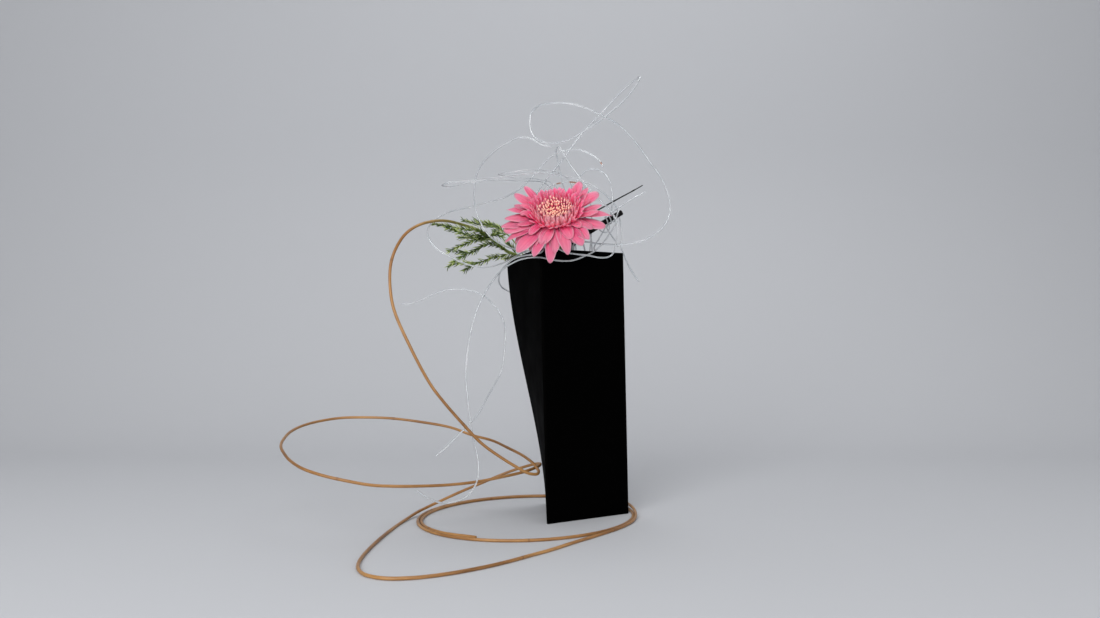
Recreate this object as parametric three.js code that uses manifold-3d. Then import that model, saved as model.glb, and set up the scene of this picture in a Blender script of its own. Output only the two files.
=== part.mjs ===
// Ikebana arrangement: a chrysanthemum, fern, a long rattan cane and clear nylon strands in a
// tall three-cornered vase. Millimetres, +Z up. The origin is the middle of the vase's foot.
import * as THREE from 'three';
import { mergeVertices } from 'three/addons/utils/BufferGeometryUtils.js';
import Module from 'manifold-3d';

const wasm = await Module();
wasm.setup();
const { Manifold, Mesh: SolidMesh } = wasm;

// Vase: three corner edges, each from the foot to the mouth
const vaseHeight = 306;
const rearCornerDrop = 6;
const vaseWall = 5;
const vaseFloor = 6;
const footCorners = { front: [-35.5, -64], right: [63.6, -2.5], rear: [-33, 61] };
const mouthCorners = { front: [-43, -59], right: [57.9, 0], rear: [-82.3, 68] };
const rearSlopes = { foot: 0.3, mouth: 0.3 };
const outerCornerRadius = 1.5;
const innerCornerRadius = 1;
const vaseLevels = 10;
const cornerSteps = 3;
const waterLevel = 240;
const pieceGap = 0.3;
const airAbove = { width: 400, height: 200 };

// A leg that stands in the water is straight up to a little above it, then runs free
const legStraight = 2;
const legTop = 22;

// Chrysanthemum head, about its own middle
const bloomMiddle = [-25, -52, 343];
const bloomAxis = [-0.1, -0.7, 0.7];
const receptacle = { depth: 7, footRadius: 12, rimLow: -2, radius: 20, top: 2.5 };
const petalThickness = 1.4;
const petalRoot = 15;
const stemRadius = 2.8;
const centreRadius = 16.5;
const centreFloor = 2.2;
const centreRoomAbove = 60;
const dome = { footInset: 2, shoulderInset: 3.5, height: 6, peak: 1 };
const roundSides = 14;
const florets = {
  count: 44, radius: 1.5, sides: 4, height: 7, rimExtra: 3, uneven: 2, lean: 0.16, sunk: 2, rimRoom: 4,
};

// Cane, strands, stick, twig and fern
const caneRadius = 1.7;
const thickStrand = 1;
const strand = 0.9;
const thinStrand = 0.8;
const stickRadius = 3.4;
const twigRadius = 0.9;
const frondStemRadius = 1.1;
const sprayRadius = 0.8;
const needles = {
  length: 8.5, radius: 0.55, sides: 3, spacing: 6.1, tipShrink: 0.35, shortest: 0.85, spread: 0.3,
  lean: 0.55, leanSpread: 0.25,
};
const sides = {
  strand: 5, cane: 6, stick: 8, twig: 6, flowerStem: 8, frondStem: 6, spray: 4, wideHole: 8, hole: 6,
};
const wideHoleRadius = 2;
const caneSteps = 2;
const frondRoom = 0.5;
const degrees = Math.PI / 180;
const goldenTurn = Math.PI * (3 - Math.sqrt(5));
const mergeDistance = 1e-4;

const ceramic = new THREE.MeshStandardMaterial({ color: 0x0b0b0c, roughness: 0.55, metalness: 0 });
const waterClear = new THREE.MeshStandardMaterial({ color: 0xcfdde0, roughness: 0.05, metalness: 0 });
const petalPink = new THREE.MeshStandardMaterial({ color: 0xf07a9e, roughness: 0.6, metalness: 0 });
const floretCream = new THREE.MeshStandardMaterial({ color: 0xf0bfa0, roughness: 0.6, metalness: 0 });
const stemGreen = new THREE.MeshStandardMaterial({ color: 0x6f8a4a, roughness: 0.6, metalness: 0 });
const fernGreen = new THREE.MeshStandardMaterial({ color: 0x4e6b30, roughness: 0.6, metalness: 0 });
const caneTan = new THREE.MeshStandardMaterial({ color: 0xc08a55, roughness: 0.45, metalness: 0 });
const nylonClear = new THREE.MeshStandardMaterial({ color: 0xdfe3e6, roughness: 0.15, metalness: 0 });
const barkBlack = new THREE.MeshStandardMaterial({ color: 0x0d0c0b, roughness: 0.7, metalness: 0 });
const twigDark = new THREE.MeshStandardMaterial({ color: 0x2c3327, roughness: 0.6, metalness: 0 });

// Seeded draw between 0 and 1, the same on every run
const drawFactor = 1664525;
const drawShift = 1013904223;
const drawRange = 2 ** 32;

function drawFrom(seed) {
  let state = seed;
  return () => {
    state = (Math.imul(state, drawFactor) + drawShift) >>> 0;
    return state / drawRange;
  };
}

// A closed body through rings of equally many points, with flat fans over both ends.
// Its cells are split from even points to odd ones, so a thin blade's two faces split alike.
function bodyThrough(rings) {
  const count = rings[0].length;
  const positions = rings.flat().flatMap((point) => point.toArray());
  const faces = [];
  for (let ring = 0; ring < rings.length - 1; ring += 1) {
    for (let side = 0; side < count; side += 1) {
      const a = ring * count + side;
      const b = ring * count + (side + 1) % count;
      const c = a + count;
      const d = b + count;
      if (side % 2 === 0) faces.push(a, b, d, a, d, c);
      else faces.push(a, b, c, b, d, c);
    }
  }
  const last = (rings.length - 1) * count;
  for (let side = 1; side < count - 1; side += 1) {
    faces.push(0, side + 1, side);
    faces.push(last, last + side, last + side + 1);
  }
  const geometry = new THREE.BufferGeometry();
  geometry.setAttribute('position', new THREE.Float32BufferAttribute(positions, 3));
  geometry.setIndex(faces);
  return facingOut(geometry);
}

function facingOut(geometry) {
  const index = geometry.getIndex();
  const position = geometry.getAttribute('position');
  const a = new THREE.Vector3();
  const b = new THREE.Vector3();
  const c = new THREE.Vector3();
  let volume = 0;
  for (let i = 0; i < index.count; i += 3) {
    a.fromBufferAttribute(position, index.getX(i));
    b.fromBufferAttribute(position, index.getX(i + 1));
    c.fromBufferAttribute(position, index.getX(i + 2));
    volume += a.dot(b.cross(c));
  }
  if (volume < 0) {
    for (let i = 0; i < index.count; i += 3) {
      const second = index.getX(i + 1);
      index.setX(i + 1, index.getX(i + 2));
      index.setX(i + 2, second);
    }
  }
  return geometry;
}

function solidOf(geometry) {
  const bare = geometry.clone();
  bare.deleteAttribute('normal');
  bare.deleteAttribute('uv');
  const merged = mergeVertices(bare, mergeDistance);
  return new Manifold(new SolidMesh({
    numProp: 3,
    vertProperties: Float32Array.from(merged.getAttribute('position').array),
    triVerts: Uint32Array.from(merged.getIndex().array),
  }));
}

function geometryOf(solid) {
  const mesh = solid.getMesh();
  const geometry = new THREE.BufferGeometry();
  geometry.setAttribute('position', new THREE.Float32BufferAttribute(mesh.vertProperties, 3));
  geometry.setIndex(Array.from(mesh.triVerts));
  return geometry;
}

// A turned solid about +Z from a profile of radius and height pairs
function turned(profile, count) {
  const lathe = new THREE.LatheGeometry(profile.map((pair) => new THREE.Vector2(...pair)), count);
  lathe.deleteAttribute('normal');
  lathe.deleteAttribute('uv');
  lathe.rotateX(Math.PI / 2);
  return facingOut(mergeVertices(lathe, mergeDistance));
}

// The main body of a joined solid, without loose scraps
function mainBody(solid) {
  return solid.decompose().reduce((most, body) => (body.volume() > most.volume() ? body : most));
}

// A route whose steps follow its points, so tight bends, where they lie closer, get finer steps
class Route extends THREE.CatmullRomCurve3 {
  getUtoTmapping(u) {
    return u;
  }
}

function routeThrough(points) {
  return new Route(points.map(([x, y, z]) => new THREE.Vector3(x, y, z)));
}

function roundSection(radius, count) {
  const corners = [];
  for (let i = 0; i < count; i += 1) {
    const angle = (2 * Math.PI * i) / count;
    corners.push(new THREE.Vector2(radius * Math.cos(angle), radius * Math.sin(angle)));
  }
  return new THREE.Shape(corners);
}

function tube(points, radius, count, stepsPerPoint = 1) {
  return new THREE.ExtrudeGeometry(roundSection(radius, count), {
    steps: (points.length - 1) * stepsPerPoint,
    extrudePath: routeThrough(points),
  });
}

// What stands in the water: a straight lower end, and the plain hole that it stands in
const waterHoles = [];

function standing(x, y, low, radius) {
  waterHoles.push({ x, y, low, radius });
  return [[x, y, low], [x, y, waterLevel + legStraight], [x, y, waterLevel + legTop]];
}

function standingFrom(x, y, low, radius) {
  return standing(x, y, low, radius).reverse();
}

// Vase outline at a fraction of the height, moved inwards by an inset.
// The rear corner swings out slowly at the foot and at the mouth, so it has its own share.
function rearShareAt(fraction) {
  const f = Math.min(fraction, 1);
  return f * f * (3 - 2 * f) + rearSlopes.foot * f * (1 - f) ** 2 - rearSlopes.mouth * f * f * (1 - f);
}

function cornersAt(fraction, inset) {
  const rearShare = rearShareAt(fraction);
  const between = (name, share) => new THREE.Vector2(...footCorners[name])
    .lerp(new THREE.Vector2(...mouthCorners[name]), share);
  const corners = [
    between('front', fraction), between('right', fraction), between('rear', rearShare),
  ];
  const lengths = corners.map((corner, i) => corners[(i + 1) % 3].distanceTo(corners[(i + 2) % 3]));
  const around = lengths[0] + lengths[1] + lengths[2];
  const middle = new THREE.Vector2();
  corners.forEach((corner, i) => middle.addScaledVector(corner, lengths[i] / around));
  const first = corners[1].clone().sub(corners[0]);
  const second = corners[2].clone().sub(corners[0]);
  const inradius = Math.abs(first.cross(second)) / around;
  return corners.map((corner) => corner.clone().sub(middle)
    .multiplyScalar((inradius - inset) / inradius).add(middle));
}

function roundedCorner(corner, before, after, radius) {
  const toBefore = before.clone().sub(corner).normalize();
  const toAfter = after.clone().sub(corner).normalize();
  const half = Math.acos(toBefore.dot(toAfter)) / 2;
  const middle = toBefore.clone().add(toAfter).normalize()
    .multiplyScalar(radius / Math.sin(half)).add(corner);
  const start = toBefore.multiplyScalar(radius / Math.tan(half)).add(corner).sub(middle);
  const turn = Math.PI - 2 * half;
  const points = [];
  for (let i = 0; i <= cornerSteps; i += 1) {
    points.push(start.clone().rotateAround(new THREE.Vector2(), (turn * i) / cornerSteps).add(middle));
  }
  return points;
}

// The rim stays level from the front corner to the right one and dips to the rear corner
function rimAt(rearShare) {
  return vaseHeight - rearCornerDrop * rearShare ** 2;
}

function vaseRing(fraction, inset, cornerRadius) {
  const [front, right, rear] = cornersAt(fraction, inset);
  const sideShares = [0.25, 0.5, 0.75];
  const flat = [
    ...roundedCorner(front, rear, right, cornerRadius).map((point) => [point, 0]),
    ...roundedCorner(right, front, rear, cornerRadius).map((point) => [point, 0]),
    ...sideShares.map((share) => [right.clone().lerp(rear, share), share]),
    ...roundedCorner(rear, right, front, cornerRadius).map((point) => [point, 1]),
    ...sideShares.map((share) => [rear.clone().lerp(front, share), 1 - share]),
  ];
  return flat.map(([point, share]) => new THREE.Vector3(point.x, point.y, fraction * rimAt(share)));
}

function fractionsBetween(low, high) {
  const fractions = [low];
  for (let level = 1; level < vaseLevels; level += 1) {
    const fraction = level / vaseLevels;
    if (fraction > low && fraction < high) fractions.push(fraction);
  }
  fractions.push(high);
  return fractions;
}

function vaseLoft(low, high, inset, cornerRadius) {
  return solidOf(bodyThrough(fractionsBetween(low, high)
    .map((fraction) => vaseRing(fraction, inset, cornerRadius))));
}

function vase() {
  const outside = vaseLoft(0, 1, 0, outerCornerRadius);
  const pastMouth = 1.05;
  const inside = vaseLoft(vaseFloor / vaseHeight, pastMouth, vaseWall, innerCornerRadius);
  return geometryOf(outside.subtract(inside));
}

function water() {
  const low = (vaseFloor + pieceGap) / vaseHeight;
  const fill = vaseLoft(low, 1, vaseWall + pieceGap, innerCornerRadius);
  const air = new THREE.BoxGeometry(airAbove.width, airAbove.width, airAbove.height);
  air.translate(0, 0, waterLevel + airAbove.height / 2);
  const holes = waterHoles.map(({ x, y, low: bottom, radius }) => {
    const holeSides = radius > wideHoleRadius ? sides.wideHole : sides.hole;
    const holeRadius = (radius + pieceGap) / Math.cos(Math.PI / holeSides);
    const height = waterLevel + legTop - bottom;
    const hole = new THREE.CylinderGeometry(holeRadius, holeRadius, height, holeSides);
    hole.rotateX(Math.PI / 2);
    hole.translate(x, y, bottom - pieceGap + height / 2);
    return solidOf(hole);
  });
  return geometryOf(mainBody(fill.subtract(Manifold.union([solidOf(air), ...holes]))));
}

// The head's own frame: x to the right, y up the back of the head, z along its axis
const headFrame = new THREE.Matrix4();
{
  const axis = new THREE.Vector3(...bloomAxis).normalize();
  const up = new THREE.Vector3(0, 1, 1);
  up.addScaledVector(axis, -up.dot(axis)).normalize();
  const right = new THREE.Vector3().crossVectors(up, axis);
  headFrame.makeBasis(right, up, axis).setPosition(...bloomMiddle);
}

// A petal from the receptacle to its tip: a keeled blade whose edges stand up by its cup
const broadStations = [
  { along: 0, wide: 0.36 }, { along: 0.42, wide: 0.9 }, { along: 0.8, wide: 0.95 },
  { along: 1, wide: 0.2 },
];
const quillStations = [
  { along: 0, wide: 0.6 }, { along: 0.6, wide: 1 }, { along: 1, wide: 0.25 },
];

const aheadStep = 0.01;

function petal(stations, { angle, from, reach, base, rise, tip, width, cup, roll = 0 }) {
  const outward = new THREE.Vector3(Math.cos(angle), Math.sin(angle), 0);
  const across = new THREE.Vector3(-Math.sin(angle), Math.cos(angle), 0);
  const middleAt = (along) => outward.clone().multiplyScalar(from + (reach - from) * along)
    .setZ(base + rise * 4 * along * (1 - along) + (tip - base) * along ** 2);
  const rings = stations.map(({ along, wide }) => {
    const middle = middleAt(along);
    const ahead = middleAt(along + aheadStep).sub(middleAt(along - aheadStep)).normalize();
    const side = across.clone().applyAxisAngle(ahead, roll * along);
    const normal = new THREE.Vector3().crossVectors(ahead, side);
    const half = (width / 2) * wide;
    const edgeLift = cup * wide;
    return [
      middle.clone().addScaledVector(side, -half).addScaledVector(normal, edgeLift),
      middle.clone().addScaledVector(normal, petalThickness / 2),
      middle.clone().addScaledVector(side, half).addScaledVector(normal, edgeLift),
      middle.clone().addScaledVector(normal, -petalThickness / 2),
    ];
  });
  return solidOf(bodyThrough(rings));
}

// Broad outer petals, chosen one by one: direction in degrees, reach, height of the tip, width
const outerPetals = [
  [188, 63, -2, 20], [197, 61, -4, 19], [208, 66, -8, 18], [216, 57, -9, 16], [227.5, 66, -9, 20],
  [236, 54, -12, 15], [245, 62, -11, 15], [268, 54, -11, 14], [261.5, 61.5, -18, 14], [280, 57, -12, 16],
  [295, 47, -9, 13], [301, 54, -8, 16], [312, 53, -6, 15], [327, 47.5, -3, 14], [338, 58, -5, 17],
  [353, 62.5, -2, 18], [10, 53, 3, 16], [28, 55.5, 8, 15], [41, 49.5, 12, 14], [54, 51, 14, 14],
  [66, 50, 0, 14], [80, 50, -3, 14], [95, 51, -4, 14], [110, 50, -1, 14], [127, 54, 13, 12],
  [141, 58, 9, 15], [153, 52, 2, 15], [166, 57, 3, 17], [178, 57.5, 1, 17],
];
const outerForm = { lowBase: -4.5, highBase: -2, rise: 3, cup: 1.6, rollSpread: 0.5 };

// Shorter petals over them, then two rings of narrow ones that curve up round the centre
const upperPetals = [
  [252, 48, -4, 16], [290, 43, -3, 14], [347, 48.5, 8, 14], [226, 43, 0, 11], [200, 45, 2, 12],
  [158, 42, 8, 10], [118, 39, 9, 8], [80, 39, 8, 9], [54, 41, 12, 8], [16, 42, 9, 10], [318, 38, 2, 10],
];
const upperForm = { lowBase: 0.4, highBase: 1.2, rise: 1, cup: 1.8, rollSpread: 0.6 };
const quillForm = { base: 0.5, cup: 1.4, reachSpread: 2, tipSpread: 3, turnSpread: 0.25 };
const quillRings = [
  { count: 17, from: 18.5, reach: 31, tip: 14.5, rise: -2, width: 6.5, turn: 0 },
  { count: 15, from: 18, reach: 25, tip: 16.5, rise: -2.5, width: 6, turn: 10 },
];

function bloomPetals() {
  const draw = drawFrom(7);
  const spread = (width) => (draw() - 0.5) * width;
  const pieces = [solidOf(turned([
    [0, -receptacle.depth], [receptacle.footRadius, -receptacle.depth],
    [receptacle.radius, receptacle.rimLow], [receptacle.radius, receptacle.top],
    [0, receptacle.top],
  ], roundSides))];
  [[outerPetals, outerForm], [upperPetals, upperForm]].forEach(([petals, form]) => {
    petals.forEach(([direction, reach, tip, width], i) => {
      const { lowBase, highBase, rise, cup, rollSpread } = form;
      pieces.push(petal(broadStations, {
        angle: direction * degrees, from: petalRoot, reach, base: i % 2 === 0 ? lowBase : highBase,
        rise, tip, width, cup, roll: spread(rollSpread),
      }));
    });
  });
  quillRings.forEach(({ count, from, reach, tip, rise, width, turn }) => {
    const { base, cup, reachSpread, tipSpread, turnSpread } = quillForm;
    for (let i = 0; i < count; i += 1) {
      const angle = ((i + draw() * turnSpread) * 360) / count + turn;
      pieces.push(petal(quillStations, {
        angle: angle * degrees, from, reach: reach + spread(reachSpread), base, rise,
        tip: tip + spread(tipSpread), width, cup,
      }));
    }
  });
  const room = centreRoom(centreRadius + pieceGap * 2, centreFloor);
  return geometryOf(mainBody(Manifold.union(pieces).subtract(room))).applyMatrix4(headFrame);
}

// The round space that the centre fills, from a floor upwards
function centreRoom(radius, floor) {
  return solidOf(turned([
    [0, floor], [radius, floor], [radius, floor + centreRoomAbove], [0, floor + centreRoomAbove],
  ], roundSides));
}

// Short florets on a low dome, each a four-sided spike that leans outwards
function bloomCentre() {
  const floor = centreFloor + pieceGap;
  const pieces = [solidOf(turned([
    [0, floor], [centreRadius - dome.footInset, floor],
    [centreRadius - dome.shoulderInset, floor + dome.height / 2],
    [centreRadius / 2, floor + dome.height], [0, floor + dome.height + dome.peak],
  ], roundSides))];
  const draw = drawFrom(23);
  for (let i = 0; i < florets.count; i += 1) {
    const share = Math.sqrt((i + 0.5) / florets.count);
    const height = florets.height + florets.rimExtra * share + (draw() - 0.5) * florets.uneven;
    const spike = new THREE.ConeGeometry(florets.radius, height, florets.sides);
    spike.rotateX(Math.PI / 2);
    spike.translate(0, 0, height / 2);
    spike.rotateY(florets.lean * share);
    spike.translate(share * (centreRadius - florets.rimRoom), 0, floor + florets.sunk);
    spike.rotateZ(i * goldenTurn);
    pieces.push(solidOf(spike));
  }
  const inside = Manifold.union(pieces).intersect(centreRoom(centreRadius, floor));
  return geometryOf(mainBody(inside)).applyMatrix4(headFrame);
}

// The green cup under the head: radius, then depth below the receptacle's foot
const calyxProfile = [[11, 0], [12.5, 2], [10, 6], [4, 10], [stemRadius, 14]];

function flowerStem() {
  const top = -receptacle.depth - pieceGap;
  const outline = calyxProfile.map(([radius, depth]) => [radius, top - depth]);
  const calyx = turned([[0, top], ...outline, [0, outline.at(-1)[1]]], roundSides);
  const stem = tube([
    [-23.3, -41, 332], [-22, -30, 321], [-16, -13, 301], [-11, -8, 282],
    ...standingFrom(-10, -8, 40, stemRadius),
  ], stemRadius, sides.flowerStem);
  return geometryOf(solidOf(calyx.applyMatrix4(headFrame)).add(solidOf(stem)));
}

// Fern: bare stems, and sprays that carry needles on every side
const frontFrond = {
  stem: [
    ...standing(-48, 34, 190, frondStemRadius), [-57, 36, 291], [-62, 38, 304.5],
    [-70, 37.5, 308.5], [-78, 35.5, 311.5], [-86, 30, 315], [-95, 23, 322],
  ],
  sprays: [
    [[-90.4, 26.8, 318.2], [-97, 22, 323], [-106, 15, 329], [-116, 7, 333], [-126, 1, 334], [-141, -7, 335],
      [-155, -13, 337], [-166, -19, 338]],
    [[-105.9, 15.2, 328.6], [-119, 3, 327], [-133, -7, 329], [-150, -18, 333]],
    [[-99, 20, 324], [-110, 13, 325], [-123, 7, 325], [-137, 3, 325]],
    [[-101, 19, 325], [-117, 5, 322], [-130, -5, 316], [-139, -11, 311], [-148, -17, 306]],
    [[-103, 17, 327], [-96, 21, 330], [-86, 24, 328]],
    [[-80.7, 33.8, 312.5], [-89, 25, 316], [-99, 17, 318], [-110, 7, 315], [-117, 1, 310], [-128, -6, 304],
      [-138, -11, 298], [-148, -17, 289]],
    [[-124, -3, 306], [-132, 1, 307], [-140, 5, 308]],
    [[-75, 36.3, 310.3], [-87, 25, 305], [-99, 15, 302], [-106, 9, 298], [-117, 1, 294], [-128, -5, 294],
      [-142, -11, 292]],
    [[-115, 3, 295], [-124, 5, 291], [-131, 7, 286]],
    [[-70, 37.5, 308.5], [-74, 34, 316], [-81, 30, 322]],
    [[-70, 37.5, 308.5], [-76, 30, 304], [-84, 21, 301]],
  ],
  seed: 11,
};
const rearFrond = {
  stem: [
    ...standing(-42, 25, 190, frondStemRadius), [-53, 28, 292], [-62, 29, 308], [-70, 32, 320],
    [-77, 39, 329], [-86, 48, 338],
  ],
  sprays: [
    [[-84, 46, 336], [-92, 51, 342], [-100, 53, 345], [-115, 49, 347], [-125, 45, 348],
      [-134, 41, 350]],
    [[-95.2, 52, 343.1], [-108, 59, 348], [-120, 63, 353]],
    [[-85.6, 47.8, 337.6], [-95, 59, 345], [-107, 63, 350]],
    [[-81.6, 43.9, 333.6], [-88, 46, 335], [-97, 42, 336]],
  ],
  seed: 12,
};

function needle(root, ahead, turn, length, lean) {
  const cone = new THREE.ConeGeometry(needles.radius, length, needles.sides);
  cone.translate(0, length / 2, 0);
  const side = new THREE.Vector3(0, 0, 1).cross(ahead).normalize().applyAxisAngle(ahead, turn);
  const direction = ahead.clone().multiplyScalar(Math.cos(lean))
    .addScaledVector(side, Math.sin(lean));
  const upright = new THREE.Vector3(0, 1, 0);
  cone.applyQuaternion(new THREE.Quaternion().setFromUnitVectors(upright, direction));
  cone.translate(root.x, root.y, root.z);
  return solidOf(cone);
}

function frond({ stem, sprays, seed }, neighbours) {
  const draw = drawFrom(seed);
  const { length, spacing, tipShrink, shortest, spread, lean, leanSpread } = needles;
  const pieces = [solidOf(tube(stem, frondStemRadius, sides.frondStem))];
  sprays.forEach((points) => {
    pieces.push(solidOf(tube(points, sprayRadius, sides.spray)));
    const axis = new THREE.CatmullRomCurve3(points.map((point) => new THREE.Vector3(...point)));
    const count = Math.round(axis.getLength() / spacing);
    for (let i = 0; i <= count; i += 1) {
      const along = i / count;
      const shrink = 1 - tipShrink * along ** 2;
      pieces.push(needle(
        axis.getPointAt(along), axis.getTangentAt(along), i * goldenTurn + draw(),
        length * shrink * (shortest + spread * draw()), i === count ? 0 : lean + leanSpread * draw(),
      ));
    }
  });
  return geometryOf(mainBody(Manifold.union(pieces).subtract(Manifold.union(neighbours))));
}

// Cane: from its cut end round the ring on the table, then through its loops to the mouth
const ringMiddle = [-55.5, -23.1];
const ringRadius = 119.5;
const ringDepth = 1.01;
const ringSlant = 0.16;
const ringPitch = 3.9;
const ringStart = 243;
const ringEnd = -400;
const ringStep = 20;

// The cut end stands a little off the table
const cutEndRise = { spread: 45, lift: 1.2 };

// Behind the vase's right corner the second turn rises and lies nearly over the first one
const ringRise = { direction: -340, spread: 28, lift: 6.5, pull: 4.5 };

function caneRing() {
  const points = [];
  for (let direction = ringStart; direction >= ringEnd; direction -= ringStep) {
    const rise = Math.exp(-(((direction - ringRise.direction) / ringRise.spread) ** 2));
    const radius = ringRadius + (ringPitch * (ringStart - direction)) / 360 - ringRise.pull * rise ** 1.5;
    const cutEnd = Math.exp(-(((ringStart - direction) / cutEndRise.spread) ** 2));
    const angle = direction * degrees;
    const right = radius * Math.cos(angle);
    points.push([
      ringMiddle[0] + right,
      ringMiddle[1] + ringDepth * radius * Math.sin(angle) + ringSlant * right,
      caneRadius + ringRise.lift * rise + cutEndRise.lift * cutEnd,
    ]);
  }
  return points;
}

const caneLowLoop = [
  [-14, -160, 1.7], [-35, -187, 1.7], [-55, -209, 1.7], [-76, -232, 1.7], [-100, -254, 1.7],
  [-130, -275, 1.7], [-158, -287, 1.7], [-180, -288, 1.7], [-198, -277, 1.7], [-208, -257, 1.7],
  [-212, -230, 1.7], [-211, -181, 1.7], [-204, -110, 1.7], [-194, -50, 2], [-181, -17, 6],
  [-160, 4, 13], [-136, 18, 22], [-112, 25, 31], [-87, 28, 41], [-69, 25, 48], [-52, 18, 54],
  [-44.5, 9, 57],
];
const caneSideLoop = [
  [-41.2, -3, 58], [-44.5, -16, 57], [-62, -32, 53], [-85, -47, 50], [-112, -62, 47], [-140, -82, 47],
  [-165, -102, 49], [-195, -122, 52], [-219, -132, 55], [-242, -137, 60], [-267, -134, 65],
  [-290, -122, 70], [-308, -102, 75], [-322, -77, 80], [-333, -50, 85], [-338, -17, 90],
  [-338, 18, 95], [-330, 48, 99], [-314, 73, 102], [-293, 88, 104], [-264, 95, 104],
  [-233, 95, 103], [-193, 88, 99], [-152, 75, 93], [-126, 63, 85], [-100, 48, 80], [-80, 23, 74],
  [-62, -2, 68],
];
const caneArch = [
  [-50, -25, 62], [-46, -34, 58], [-44, -43, 55.5], [-46, -52, 54], [-52, -59, 55], [-59, -65, 58],
  [-68, -71, 64], [-84, -79, 75], [-106, -87, 92], [-128, -94, 116], [-148, -99, 140],
  [-161, -101, 158], [-183, -100, 199], [-200, -95, 237], [-205, -89, 264], [-205, -82, 287],
  [-200, -75, 305], [-191, -62, 322], [-176, -42, 335], [-154, -17, 342], [-132, 8, 340],
  [-113, 25, 335], [-99, 37, 326], [-84, 48, 315], [-66, 51, 305], [-49.5, 42.5, 289],
];
const caneRoute = [
  ...caneRing(), ...caneLowLoop, ...caneSideLoop, ...caneArch,
  ...standingFrom(-30, 34, 200, caneRadius),
];

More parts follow.
